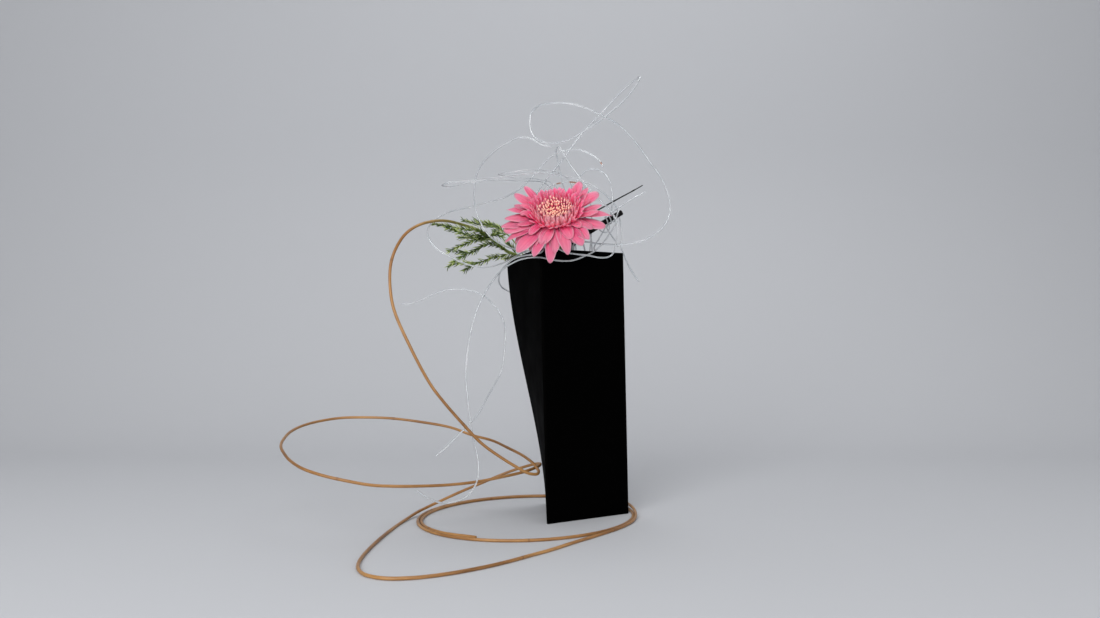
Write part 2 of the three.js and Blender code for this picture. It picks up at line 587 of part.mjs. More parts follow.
// Strands: each a route of points from end to end. Those that stand in the water say where.
const strands = {
  nylon_double_loop: { radius: thickStrand, route: [
    ...standing(-44, 17, 205, thickStrand), [-50, 19, 285], [-56, 22, 300], [-62, 25, 324],
    [-63, 26, 341], [-54, 23, 365], [-39, 19, 389], [-17, 15, 416], [11, 9, 452], [32, 3, 473],
    [54, -5, 495], [70, -14, 507], [73, -23, 506], [68, -32, 496], [55, -38, 478], [27, -43, 453],
    [7, -46, 439], [-10, -47, 429], [-28, -47, 425], [-40, -47, 427], [-51, -47, 435],
    [-54, -45, 448], [-52, -43, 461], [-44, -39, 469], [-28, -33, 474], [-8, -27, 475],
    [11, -23, 471], [30, -20, 463], [49, -17, 453], [69, -13, 434], [85, -10, 413], [101, -8, 391],
    [109, -7, 369], [110, -7, 352], [102, -9, 336], [87, -12, 324], [70, -16, 317], [50, -21, 314],
    [27, -26, 314], [8, -29, 316], [-3, -27, 314], [-5, -24, 296],
    ...standingFrom(-6, -24, 205, thickStrand),
  ] },
  nylon_left_arch: { radius: strand, route: [
    [-29, -44, 422], [-40, -44, 424], [-50, -44, 430], [-64, -41, 433], [-80, -35, 428],
    [-95, -27, 420], [-107, -19, 410], [-115, -11, 398], [-118, -5, 385], [-119, -1, 369],
    [-117, 1, 356], [-112, 1, 343], [-105, 0, 331], [-96, 0, 322], [-83, 5, 315], [-69, 12, 311],
    [-62, 12, 309], [-55, 11, 305], [-46, 9, 288], ...standingFrom(-40, 8, 205, strand),
  ] },
  nylon_low_loop: { radius: strand, route: [
    [35, 23, 412], [29, 25, 422], [19, 27, 429], [6, 29, 434], [-7, 31, 434], [-20, 33, 431],
    [-31, 35, 424], [-42, 37, 412], [-53, 37, 399], [-69, 33, 385], [-87, 29, 375], [-106, 25, 369],
    [-127, 15, 362], [-149, -1, 354], [-162, -17, 344], [-170, -29, 332], [-169, -36, 320],
    [-160, -40, 308], [-144, -40, 298], [-126, -37, 290], [-111, -31, 287], [-96, -23, 289],
    [-83, -15, 294], [-71, -9, 301], [-58, -4, 308], [-51, -4, 308], [-44, -3, 299],
    [-38, -3, 282], ...standingFrom(-34, -3, 205, strand),
  ] },
  nylon_flat_loop_tail: { radius: strand, route: [
    ...standing(-17, 25, 205, strand), [-20, 24, 290], [-26, 20, 320], [-21, 35, 374],
    [-29, 31, 389], [-40, 23, 394], [-53, 13, 393], [-71, -1, 391], [-88, -15, 389],
    [-106, -29, 386], [-128, -44, 380], [-143, -55, 375], [-150, -64, 374], [-150, -71, 374],
    [-143, -75, 376], [-129, -71, 378], [-110, -59, 382], [-88, -45, 387], [-65, -31, 393],
    [-42, -19, 397], [-21, -11, 396], [-3, -6, 394], [13, -3, 389], [29, 0, 380], [41, 3, 370],
    [49, 5, 360], [53, 5, 346], [55, 3, 329], [54, 1, 314], [58, 3, 303], [65, 7, 289],
    [71, 9, 280], [76, 11, 273],
  ] },
  nylon_flat_loop: { radius: thinStrand, route: [
    ...standing(-8, 20, 205, thinStrand), [-10, 20, 290], [-16, 18, 330], [-17, 25, 377],
    [-26, 19, 391], [-40, 11, 394], [-56, 1, 394], [-72, -9, 393], [-85, -17, 394], [-90, -26, 394],
    [-84, -34, 394], [-74, -35, 395], [-61, -29, 398], [-46, -19, 400], [-30, -9, 401],
    [-16, 1, 399], [-6, 5, 391], [-3, 3, 375], [0, 4, 338], [-2, 10, 300],
    ...standingFrom(-3, 13, 205, thinStrand),
  ] },
  nylon_pointed_loop: { radius: strand, route: [
    ...standing(4, 14, 205, strand), [3, 15, 290], [0, 24, 332], [-10, 27, 379], [-16, 24, 401],
    [-20, 21, 420], [-22, 16, 431], [-19, 9, 433], [-14, 7, 425], [-6, 6, 412], [6, 3, 395],
    [18, -3, 379], [32, -10, 363], [41, -16, 352], [47, -20, 339], [47, -23, 325], [44, -27, 311],
    [42, -31, 304], [35, -37, 298], [23, -43, 297], [11, -46, 299], [-1, -49, 300], [-14, -52, 302],
    [-24, -53, 307], [-28, -50, 311], [-27, -45, 311], [-24, -38, 308], [-22, -34, 298],
    ...standingFrom(-22, -33, 205, strand),
  ] },
  nylon_small_arch: { radius: strand, route: [
    ...standing(15, 8, 205, strand), [15, 9, 290], [8, 14, 330], [-4, 19, 381], [1, 21, 392],
    [8, 23, 402], [15, 23, 408], [25, 21, 409], [34, 19, 405], [41, 17, 396], [45, 17, 383],
    [45, 16, 367], [42, 10, 350], [35, 4, 335], [28, 1, 323], [22, -1, 312], [26, -2, 300],
    [29, 0, 282], ...standingFrom(30, 0, 205, strand),
  ] },
  nylon_rear_arch: { radius: thinStrand, route: [
    ...standing(-4, 3, 205, thinStrand), [-6, 4, 290], [-20, 8, 330], [-44, 7, 370], [-36, 3, 382],
    [-23, -1, 387], [-10, -3, 389], [3, -1, 388], [14, 5, 381], [20, 10, 350], [17, 6, 300],
    ...standingFrom(15, -2, 205, thinStrand),
  ] },
  nylon_front_trail: { radius: strand, route: [
    [52, -13, 360], [48, -12, 350], [45, -17, 337], [38, -23, 326], [30, -29, 315], [20, -36, 305],
    [7, -44, 298], [-6, -50, 293], [-18, -55, 292], [-31, -60, 293], [-42, -63, 295],
    [-54, -63, 295], [-65, -59, 293], [-75, -51, 289], [-83, -41, 285], [-91, -33, 278],
    [-98, -31, 269], [-106, -31, 256], [-113, -33, 241], [-118, -36, 225], [-122, -39, 207],
    [-125, -43, 185], [-126, -47, 163], [-124, -51, 141], [-121, -57, 119], [-116, -71, 94],
    [-112, -77, 79], [-110, -82, 65], [-112, -87, 50], [-120, -92, 38], [-132, -97, 32],
    [-146, -103, 31], [-160, -107, 36], [-174, -111, 46],
  ] },
  nylon_rear_hook: { radius: strand, route: [
    ...standing(-38, -24, 205, strand), [-38, -28, 290], [-38, -40, 308], [-38, -52, 312],
    [-41, -66, 301], [-50, -71, 298], [-60, -64, 297], [-70, -47, 296], [-79, -25, 292],
    [-86, -1, 287], [-90, 19, 282], [-91, 35, 275], [-88, 47, 269], [-83, 61, 266], [-78, 73, 264],
    [-73, 81, 262],
  ] },
  nylon_side_drape: { radius: thinStrand, route: [
    [-200, -37, 245], [-190, -35, 245], [-179, -33, 249], [-164, -31, 256], [-149, -29, 261],
    [-134, -28, 262], [-120, -28, 260], [-107, -29, 255], [-97, -29, 246], [-89, -31, 236],
    [-83, -34, 222], [-82, -37, 206], [-83, -41, 188], [-86, -47, 170], [-93, -53, 155],
    [-101, -61, 141], [-109, -73, 126], [-116, -82, 117], [-123, -89.4, 110], [-134, -91.4, 99],
    [-145, -91, 88], [-155, -93, 80],
  ] },
  nylon_stick_hook: { radius: thinStrand, route: [
    ...standing(20, -7, 205, thinStrand), [20, -6, 290], [19, -2, 318], [18, 1, 329], [18, -3, 338],
    [20, -11, 342], [24, -17, 335], [30, -17, 329], [35, -14, 329], [39, -8, 333], [39, -3, 341],
    [36, -1, 349],
  ] },
};

const stickRoute = [
  [54, -7, 353], [35, -9, 342], [16, -12, 330], [1, -15, 320], [-11, -22, 305], [-19, -24, 285],
  ...standingFrom(-20, -24, 120, stickRadius),
];
const twigRoute = [
  [81, 13, 388], [69, 11, 381], [51, 8, 371], [32, 4, 360], [11, 0, 348], [-16, -2, 325],
  [-26, -3, 300], [-29, -8, 275], ...standingFrom(-29, -9, 120, twigRadius),
];

// The binding comes from a free end, winds round the stick near its cut end, and hangs below it
const bindingMiddle = new THREE.Vector3(39.5, -8.5, 344.5);
const stickDirection = [19, 2, 11];
const bindingTurns = 2.5;
const bindingPitch = 4.5;
const bindingPoints = 8;
const bindingFreeEnd = [[81, -7, 377], [71, -6, 372], [60, -5, 365], [50, -5, 359]];
const bindingTail = [[36, -14, 333], [41, -15, 325], [46, -14, 318], [49, -13, 312]];

function bindingRoute() {
  const along = new THREE.Vector3(...stickDirection).normalize();
  const upward = new THREE.Vector3(0, 0, 1);
  upward.addScaledVector(along, -upward.dot(along)).normalize();
  const sideways = new THREE.Vector3().crossVectors(along, upward);
  const radius = (stickRadius + pieceGap + thinStrand) / Math.cos(Math.PI / bindingPoints);
  const coil = [];
  for (let i = 0; i <= bindingTurns * bindingPoints; i += 1) {
    const turn = (2 * Math.PI * i) / bindingPoints;
    const shift = bindingPitch * (bindingTurns / 2 - i / bindingPoints);
    coil.push(bindingMiddle.clone().addScaledVector(along, shift)
      .addScaledVector(upward, radius * Math.cos(turn))
      .addScaledVector(sideways, radius * Math.sin(turn)).toArray());
  }
  return [...bindingFreeEnd, ...coil, ...bindingTail];
}

function named(name, geometry, material) {
  const mesh = new THREE.Mesh(geometry, material);
  mesh.name = name;
  return mesh;
}

const arrangement = new THREE.Group();

arrangement.add(named('rattan_cane', tube(caneRoute, caneRadius, sides.cane, caneSteps), caneTan));
Object.entries(strands).forEach(([name, { radius, route }]) => {
  arrangement.add(named(name, tube(route, radius, sides.strand), nylonClear));
});
arrangement.add(named('nylon_binding', tube(bindingRoute(), thinStrand, sides.strand), nylonClear));
arrangement.add(named('black_stick', tube(stickRoute, stickRadius, sides.stick), barkBlack));
arrangement.add(named('dark_twig', tube(twigRoute, twigRadius, sides.twig), twigDark));

// The needles keep clear of the cane and of the strands that pass through the fern
const throughFern = ['nylon_left_arch', 'nylon_low_loop', 'nylon_double_loop', 'nylon_rear_hook'];
const frondNeighbours = [
  solidOf(tube(caneRoute, caneRadius + frondRoom, sides.cane, caneSteps)),
  ...throughFern.map((name) => (
    solidOf(tube(strands[name].route, strands[name].radius + frondRoom, sides.strand)))),
];
arrangement.add(named('fern_frond_front', frond(frontFrond, frondNeighbours), fernGreen));
arrangement.add(named('fern_frond_rear', frond(rearFrond, frondNeighbours), fernGreen));
arrangement.add(named('flower_stem', flowerStem(), stemGreen));
arrangement.add(named('bloom_petals', bloomPetals(), petalPink));
arrangement.add(named('bloom_centre', bloomCentre(), floretCream));
arrangement.add(named('vase', vase(), ceramic));
arrangement.add(named('water', water(), waterClear));

export default arrangement;
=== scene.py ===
# Ikebana arrangement: a pink chrysanthemum, asparagus fern, a long rattan cane and clear nylon
# strands in a tall black vase with three corners. Lengths in the dictionaries are millimetres.
import math
import random

import bmesh
import bpy
from mathutils import Matrix, Quaternion, Vector, noise


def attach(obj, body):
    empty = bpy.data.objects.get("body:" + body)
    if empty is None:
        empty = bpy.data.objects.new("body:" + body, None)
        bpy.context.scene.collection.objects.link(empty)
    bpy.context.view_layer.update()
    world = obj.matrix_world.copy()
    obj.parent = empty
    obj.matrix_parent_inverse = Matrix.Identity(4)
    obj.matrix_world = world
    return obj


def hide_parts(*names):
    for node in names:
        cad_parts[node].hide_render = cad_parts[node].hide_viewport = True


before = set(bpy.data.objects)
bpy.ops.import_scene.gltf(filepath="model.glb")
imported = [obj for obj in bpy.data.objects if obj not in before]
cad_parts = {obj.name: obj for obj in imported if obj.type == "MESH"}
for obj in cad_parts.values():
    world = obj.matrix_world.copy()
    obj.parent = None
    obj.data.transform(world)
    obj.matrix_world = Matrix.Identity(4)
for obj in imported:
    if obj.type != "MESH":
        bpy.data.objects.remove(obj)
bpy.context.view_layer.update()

mm = 0.001
goldenTurn = math.pi * (3 - math.sqrt(5))
scene = bpy.context.scene
scene.view_settings.view_transform = "Standard"


def toLinear(hexColour):
    channels = [int(hexColour[i:i + 2], 16) / 255 for i in (1, 3, 5)]
    linear = [c / 12.92 if c <= 0.04045 else ((c + 0.055) / 1.055) ** 2.4 for c in channels]
    return (*linear, 1)


def setInputs(tree, node, inputs):
    # Each input gets a value, or a link from a socket or from a node's first output
    for key, given in inputs.items():
        if isinstance(given, bpy.types.Node):
            given = given.outputs[0]
        if isinstance(given, bpy.types.NodeSocket):
            tree.links.new(given, node.inputs[key])
        else:
            node.inputs[key].default_value = given


def addNode(tree, kind, inputs=None, settings=None, stops=()):
    node = tree.nodes.new(kind)
    for name, value in (settings or {}).items():
        setattr(node, name, value)
    setInputs(tree, node, inputs or {})
    for i, (place, colour) in enumerate(stops):  # of a colour ramp, which starts with two
        elements = node.color_ramp.elements
        element = elements[i] if i < len(elements) else elements.new(place)
        element.position = place
        element.color = toLinear(colour)
    return node


def startMaterial(name):
    material = bpy.data.materials.new(name)
    material.use_nodes = True
    return material, material.node_tree, material.node_tree.nodes["Principled BSDF"]


# Camera and light

cameraView = {
    "place": (-64, -1037, 206),
    "lens": 28.83, "sensorWidth": 36,
    "shift": (0.0264, 0.0264),
}
studio = {
    "floorWidth": 6000, "frontEdge": -2500, "backStart": 500, "sweepRadius": 700, "wallTop": 3200,
    "sweepSteps": 12, "paperColour": "#C2C4C8", "paperRoughness": 0.9,
    "worldColour": (0.8, 0.8, 0.82, 1), "worldStrength": 0.4,
    "lamps": [
        {"name": "keyLamp", "place": (-700, -1900, 1100), "size": 1500, "watts": 38},
        {"name": "fillLamp", "place": (1200, -1800, 300), "size": 1800, "watts": 17},
        {"name": "backLamp", "place": (300, 1000, 2000), "size": 1400, "watts": 16},
    ],
    "aim": (-60, 0, 240),
}


def makeCamera():
    data = bpy.data.cameras.new("camera")
    data.lens = cameraView["lens"]
    data.sensor_width = cameraView["sensorWidth"]
    data.shift_x, data.shift_y = cameraView["shift"]
    camera = bpy.data.objects.new("camera", data)
    camera.location = Vector(cameraView["place"]) * mm
    camera.rotation_euler = (math.pi / 2, 0, 0)
    scene.collection.objects.link(camera)
    scene.camera = camera


def makeLamps():
    aim = Vector(studio["aim"]) * mm
    for lamp in studio["lamps"]:
        data = bpy.data.lights.new(lamp["name"], "AREA")
        data.size = lamp["size"] * mm
        data.energy = lamp["watts"]
        lampObject = bpy.data.objects.new(lamp["name"], data)
        lampObject.location = Vector(lamp["place"]) * mm
        lampObject.rotation_euler = (aim - lampObject.location).to_track_quat("-Z", "Y").to_euler()
        scene.collection.objects.link(lampObject)
    world = bpy.data.worlds.new("studioAir")
    world.use_nodes = True
    setInputs(world.node_tree, world.node_tree.nodes["Background"], {
        "Color": studio["worldColour"], "Strength": studio["worldStrength"]})
    scene.world = world


def makeFloor():
    # One sheet of matt paper that sweeps up behind into a wall
    back, radius, steps = studio["backStart"], studio["sweepRadius"], studio["sweepSteps"]
    profile = [(studio["frontEdge"], 0), (back, 0)]
    for i in range(1, steps + 1):
        angle = math.pi / 2 * i / steps
        profile.append((back + radius * math.sin(angle), radius * (1 - math.cos(angle))))
    profile.append((back + radius, studio["wallTop"]))
    half = studio["floorWidth"] / 2
    points = [(x * mm, y * mm, z * mm) for y, z in profile for x in (-half, half)]
    faces = [(2 * i, 2 * i + 1, 2 * i + 3, 2 * i + 2) for i in range(len(profile) - 1)]
    mesh = bpy.data.meshes.new("paleFloor")
    mesh.from_pydata(points, [], faces)
    mesh.shade_smooth()
    paper, tree, shader = startMaterial("mattPaper")
    setInputs(tree, shader, {
        "Base Color": toLinear(studio["paperColour"]), "Roughness": studio["paperRoughness"]})
    mesh.materials.append(paper)
    floor = bpy.data.objects.new("paleFloor", mesh)
    scene.collection.objects.link(floor)


makeCamera()
makeLamps()
makeFloor()
print("camera, lamps and floor are made")


# Materials. A colour mix takes its share at 0 and its colours at 6 and 7, and gives them at 2

multiply = {"operation": "MULTIPLY"}
multiplyAdd = {"operation": "MULTIPLY_ADD"}
colourMix = {"data_type": "RGBA"}
petalColours = {
    # the deep crimson lowest stops are partly the root colour and partly painted shade where petals crowd;
    # the narrow back ramp is partly painted light
    "broadTop": [(0.0, "#A31443"), (0.22, "#CA3364"), (0.5, "#DE557B"), (0.95, "#EA7891")],
    "broadBack": [(0.0, "#A83A62"), (0.5, "#BC587A"), (0.95, "#CB758E")],
    "narrowInside": [(0.0, "#8C0030"), (0.35, "#DE0C56"), (0.65, "#FC447E"), (1, "#FF84A8")],
    "narrowBack": [(0.0, "#9C0438"), (0.32, "#E62C62"), (0.65, "#FD6E90"), (1, "#FFB4BA")],
    "young": "#FDB6AC",
    "rim": "#F9BCCB",
    # floret ramps: the deep pink lowest stops are partly painted shade between the florets
    "creamFloret": [(0.3, "#A8184C"), (0.8, "#E05C78"), (0.94, "#F5A494"), (1, "#FBCCB0")],
    "pinkFloret": [(0.3, "#A01E4E"), (0.76, "#D4587D"), (0.92, "#F09CA4"), (1, "#F9C3B6")],
}
caneColours = {
    "peeled": [(0.5, "#65431D"), (0.72, "#8F6233"), (0.95, "#B3854F")],
    "skin": [(0.5, "#3C4F12"), (0.75, "#66732C"), (0.95, "#9A9A5C")],
    "node": "#5C3819",
}
# the nylon's paler stretches are painted highlight; amber marks a few short stretches
nylonColours = {"milky": [(0.3, "#D6DBDF"), (0.7, "#F0F3F5")], "amber": "#B8640E"}
# fern needles: the near-black lowest stop is partly painted shade and the pale top stop partly painted
# highlight
needleColours = [(0.4, "#101A02"), (0.64, "#2C4405"), (0.88, "#5A771E"), (1, "#B2BF78")]


def makeGlaze():
    # Black glazed stoneware, dipped and fired: matt and nearly black, a little browner where the
    # glaze runs thin along the rim and the corner edges
    material, tree, shader = startMaterial("mattBlackGlaze")
    place = addNode(tree, "ShaderNodeTexCoord").outputs["Object"]
    edge = addNode(tree, "ShaderNodeAttribute", settings={"attribute_name": "edge"}).outputs["Fac"]
    cloud = addNode(tree, "ShaderNodeTexNoise", {"Vector": place, "Scale": 40, "Detail": 4})
    thin = addNode(tree, "ShaderNodeMath", {0: edge, 1: cloud}, multiply)
    colour = addNode(tree, "ShaderNodeValToRGB", {"Fac": thin},
                     stops=[(0, "#010101"), (0.5, "#020202"), (1, "#090706")])
    rough = addNode(tree, "ShaderNodeMapRange", {
        "Value": cloud, "From Min": 0.3, "From Max": 0.7, "To Min": 0.62, "To Max": 0.78})
    # orange peel, about 2 mm across
    peel = addNode(tree, "ShaderNodeTexNoise", {"Vector": place, "Scale": 450, "Detail": 2})
    bump = addNode(tree, "ShaderNodeBump", {"Height": peel, "Strength": 0.5, "Distance": 0.08 * mm})
    setInputs(tree, shader, {"Base Color": colour, "Roughness": rough, "IOR": 1.5,
                             "Specular IOR Level": 0.007, "Normal": bump})
    return material


def makeWaterMaterial():
    # Still tap water: clear, with a smooth mirror on top
    material, tree, shader = startMaterial("clearWater")
    place = addNode(tree, "ShaderNodeTexCoord").outputs["Object"]
    ripple = addNode(tree, "ShaderNodeTexNoise", {"Vector": place, "Scale": 30})
    bump = addNode(tree, "ShaderNodeBump", {"Height": ripple, "Strength": 0.2, "Distance": 0.1 * mm})
    setInputs(tree, shader, {"Base Color": toLinear("#EEF4F4"), "Roughness": 0.02, "IOR": 1.333,
                             "Transmission Weight": 1, "Normal": bump})
    return material


def makePetalMaterial():
    # Living petal: soft, faintly velvety and thin enough for light to pass, deep pink at the root,
    # paler at the rim, with fine lengthwise veins. The deepest crimson at the root is partly the
    # petal's own colour and partly painted shade where the petals crowd. The narrow incurved ones have
    # a pale back, partly their own colour and partly painted light on the shaded outer wall of the bowl
    material, tree, shader = startMaterial("chrysanthemumPetal")
    along, side, tone, under, narrow, pale = [
        addNode(tree, "ShaderNodeAttribute", settings={"attribute_name": name}).outputs["Fac"]
        for name in ("along", "side", "tone", "under", "narrow", "pale")]
    place = addNode(tree, "ShaderNodeTexCoord").outputs["Object"]
    cloud = addNode(tree, "ShaderNodeTexNoise", {"Vector": place, "Scale": 160, "Detail": 3})
    veinPlace = addNode(tree, "ShaderNodeCombineXYZ", {"X": side, "Y": tone, "Z": 0.3})
    veins = addNode(tree, "ShaderNodeTexNoise", {
        "Vector": veinPlace, "Scale": 5, "Detail": 4, "Roughness": 0.65})
    # the place on the ramps runs from root to tip, uneven by petal, cloud and vein
    rampPlace = along
    for source, share in ((tone, 0.25), (cloud, 0.2), (veins, 1.2)):
        rampPlace = addNode(tree, "ShaderNodeMath", {0: source, 1: share, 2: rampPlace}, multiplyAdd)
    rampPlace = addNode(tree, "ShaderNodeMath", {0: rampPlace, 1: 0.8}, {"operation": "SUBTRACT"})
    # the ramps hold painted shade in their deep lowest stops, and the narrow back ramp holds painted light
    ramps = {name: addNode(tree, "ShaderNodeValToRGB", {"Fac": rampPlace}, stops=petalColours[name])
             for name in ("broadTop", "broadBack", "narrowInside", "narrowBack")}
    top, back = [
        addNode(tree, "ShaderNodeMix", {0: narrow, 6: ramps[broadRamp], 7: ramps[narrowRamp]}, colourMix)
        for broadRamp, narrowRamp in (("broadTop", "narrowInside"), ("broadBack", "narrowBack"))]
    bothFaces = addNode(tree, "ShaderNodeMix", {0: under, 6: top.outputs[2], 7: back.outputs[2]}, colourMix)
    # the innermost are young and pale, most of all on their backs
    outside = addNode(tree, "ShaderNodeMapRange", {"Value": under, "To Min": 0.25})
    palest = addNode(tree, "ShaderNodeMath", {0: pale, 1: outside}, multiply)
    young = addNode(tree, "ShaderNodeMapRange", {
        "Value": along, "From Min": 0.35, "From Max": 1.0, "To Max": palest})
    coloured = addNode(tree, "ShaderNodeMix", {
        0: young, 6: bothFaces.outputs[2], 7: toLinear(petalColours["young"])}, colourMix)
    # pale rim
    fromMiddle = addNode(tree, "ShaderNodeMath", {0: side}, {"operation": "ABSOLUTE"})
    rimMost = addNode(tree, "ShaderNodeMapRange", {"Value": narrow, "To Min": 0.8, "To Max": 0.35})
    rim = addNode(tree, "ShaderNodeMapRange", {
        "Value": fromMiddle, "From Min": 0.76, "From Max": 1.0, "To Min": 0, "To Max": rimMost},
        {"interpolation_type": "SMOOTHSTEP"})
    rimShare = addNode(tree, "ShaderNodeMath", {0: rim, 1: along}, multiply)
    rimmed = addNode(tree, "ShaderNodeMix", {
        0: rimShare, 6: coloured.outputs[2], 7: toLinear(petalColours["rim"])}, colourMix)
    depth = addNode(tree, "ShaderNodeMapRange", {
        "Value": narrow, "To Min": 0.6 * mm, "To Max": 0.1 * mm})
    bump = addNode(tree, "ShaderNodeBump", {"Height": veins, "Strength": 0.8, "Distance": depth})
    setInputs(tree, shader, {
        "Base Color": rimmed.outputs[2], "Roughness": 0.5, "IOR": 1.4, "Specular IOR Level": 0.25,
        "Subsurface Weight": 0.5, "Subsurface Radius": (1, 0.4, 0.5), "Subsurface Scale": 3 * mm,
        "Sheen Weight": 0.05, "Sheen Roughness": 0.4, "Normal": bump})
    return material


def makeFloretMaterial():
    # Young florets: cream and peach at their tips, pinker towards the rim, and deep pink towards their
    # roots, which is partly their own colour and partly painted shade between them
    material, tree, shader = startMaterial("creamFloret")
    along, tone = [addNode(tree, "ShaderNodeAttribute", settings={"attribute_name": name}).outputs["Fac"]
                   for name in ("along", "tone")]
    place = addNode(tree, "ShaderNodeTexCoord").outputs["Object"]
    cloud = addNode(tree, "ShaderNodeTexNoise", {"Vector": place, "Scale": 300, "Detail": 3})
    clouded = addNode(tree, "ShaderNodeMath", {0: cloud, 1: 0.3, 2: along}, multiplyAdd)
    # deep pink low on each floret: partly painted shade between them
    cream, pink = [addNode(tree, "ShaderNodeValToRGB", {"Fac": clouded}, stops=petalColours[name])
                   for name in ("creamFloret", "pinkFloret")]
    mixed = addNode(tree, "ShaderNodeMix", {0: tone, 6: cream, 7: pink}, colourMix)
    bump = addNode(tree, "ShaderNodeBump", {"Height": cloud, "Strength": 0.4, "Distance": 0.1 * mm})
    setInputs(tree, shader, {
        "Base Color": mixed.outputs[2], "Roughness": 0.5, "IOR": 1.4, "Subsurface Weight": 0.15,
        "Subsurface Radius": (1, 0.4, 0.3), "Subsurface Scale": 1.2 * mm, "Normal": bump})
    return material


def makeNylon():
    # Clear extruded nylon line: glassy and smooth with white highlights. Its colour is whitish and
    # paler in stretches along its length, which is painted highlight, and amber in a few short stretches
    material, tree, shader = startMaterial("clearNylon")
    amber, along = [addNode(tree, "ShaderNodeAttribute", settings={"attribute_name": name}).outputs["Fac"]
                    for name in ("amber", "along")]
    cloud = addNode(tree, "ShaderNodeTexNoise", {"W": along, "Scale": 25, "Detail": 2},
                    {"noise_dimensions": "1D"})
    # paler stretches along the line: painted highlight
    milky = addNode(tree, "ShaderNodeValToRGB", {"Fac": cloud}, stops=nylonColours["milky"])
    tinted = addNode(tree, "ShaderNodeMix", {0: amber, 6: milky, 7: toLinear(nylonColours["amber"])},
                     colourMix)
    setInputs(tree, shader, {"Base Color": tinted.outputs[2], "Roughness": 0.17, "IOR": 1.53,
                             "Transmission Weight": 0.66})
    return material


def lengthwiseGrain(tree, crowding, scale, detail, roughness):
    # Fibres or cracks drawn out along a tube, from its own place round the ring and its length
    spot, along = [addNode(tree, "ShaderNodeAttribute", settings={"attribute_name": name})
                   for name in ("ringSpot", "along")]
    split = addNode(tree, "ShaderNodeSeparateXYZ", {0: spot.outputs["Vector"]})
    drawn = addNode(tree, "ShaderNodeMath", {0: along.outputs["Fac"], 1: crowding}, multiply)
    place = addNode(tree, "ShaderNodeCombineXYZ", {
        "X": split.outputs[0], "Y": split.outputs[1], "Z": drawn})
    return addNode(tree, "ShaderNodeTexNoise", {
        "Vector": place, "Scale": scale, "Detail": detail, "Roughness": roughness})


def makeCaneMaterial():
    # Peeled rattan: warm golden brown with fine lengthwise fibres, darker rings at its nodes and a
    # soft shine. The last stretch before the mouth still has its green skin
    material, tree, shader = startMaterial("peeledRattan")
    along, joint, green = [
        addNode(tree, "ShaderNodeAttribute", settings={"attribute_name": name}).outputs["Fac"]
        for name in ("along", "joint", "green")]
    fibres = lengthwiseGrain(tree, crowding=14, scale=5, detail=5, roughness=0.6)
    patches = addNode(tree, "ShaderNodeTexNoise", {"W": along, "Scale": 9, "Detail": 2},
                      {"noise_dimensions": "1D"})
    mixed = addNode(tree, "ShaderNodeMath", {0: patches, 1: 0.55, 2: fibres}, multiplyAdd)
    peeled, skin = [addNode(tree, "ShaderNodeValToRGB", {"Fac": mixed}, stops=caneColours[name])
                    for name in ("peeled", "skin")]
    turned = addNode(tree, "ShaderNodeMix", {0: green, 6: peeled, 7: skin}, colourMix)
    ringed = addNode(tree, "ShaderNodeMix", {
        0: joint, 6: turned.outputs[2], 7: toLinear(caneColours["node"])}, colourMix)
    bump = addNode(tree, "ShaderNodeBump", {"Height": fibres, "Strength": 0.6, "Distance": 0.12 * mm})
    setInputs(tree, shader, {"Base Color": ringed.outputs[2], "Roughness": 0.4, "IOR": 1.5,
                             "Normal": bump})
    return material


def makeStemMaterial(name, colours, scale):
    # Green stalk: waxy skin with small pale patches
    material, tree, shader = startMaterial(name)
    place = addNode(tree, "ShaderNodeTexCoord").outputs["Object"]
    patches = addNode(tree, "ShaderNodeTexNoise", {
        "Vector": place, "Scale": scale, "Detail": 4, "Roughness": 0.6})
    darkToPale = (0.32, 0.52, 0.72)
    colour = addNode(tree, "ShaderNodeValToRGB", {"Fac": patches}, stops=list(zip(darkToPale, colours)))
    bump = addNode(tree, "ShaderNodeBump", {"Height": patches, "Strength": 0.4, "Distance": 0.1 * mm})
    setInputs(tree, shader, {"Base Color": colour, "Roughness": 0.45, "IOR": 1.45, "Normal": bump})
    return material


def makeNeedleMaterial():
    # Asparagus fern needles: waxy, dark and light olive ones among each other, paler at their tips.
    # The darkest and palest ends of the ramp are partly painted shade and painted highlight
    material, tree, shader = startMaterial("fernNeedle")
    along, tone = [addNode(tree, "ShaderNodeAttribute", settings={"attribute_name": name}).outputs["Fac"]
                   for name in ("along", "tone")]
    place = addNode(tree, "ShaderNodeTexCoord").outputs["Object"]
    cloud = addNode(tree, "ShaderNodeTexNoise", {"Vector": place, "Scale": 90, "Detail": 3})
    clouded = addNode(tree, "ShaderNodeMath", {0: along, 1: 0.3, 2: cloud}, multiplyAdd)
    toned = addNode(tree, "ShaderNodeMath", {0: tone, 1: 0.45, 2: clouded}, multiplyAdd)
    # the ramp's darkest and palest ends: partly painted shade and painted highlight
    colour = addNode(tree, "ShaderNodeValToRGB", {"Fac": toned}, stops=needleColours)
    setInputs(tree, shader, {"Base Color": colour, "Roughness": 0.42, "IOR": 1.45,
                             "Subsurface Weight": 0.05})
    return material


def makeBark(name, colours, scale, depth, roughness):
    # Dry bark: fine lengthwise cracks, painted darker where they sink in, as painted shade
    material, tree, shader = startMaterial(name)
    cracks = lengthwiseGrain(tree, crowding=60, scale=scale, detail=6, roughness=0.65)
    darkToPale = (0.35, 0.55, 0.75)
    # darker colour in the sunken cracks: painted shade
    colour = addNode(tree, "ShaderNodeValToRGB", {"Fac": cracks}, stops=list(zip(darkToPale, colours)))
    bump = addNode(tree, "ShaderNodeBump", {"Height": cracks, "Strength": 0.8, "Distance": depth * mm})
    setInputs(tree, shader, {"Base Color": colour, "Roughness": roughness, "IOR": 1.45,
                             "Specular IOR Level": 0.12, "Normal": bump})
    return material


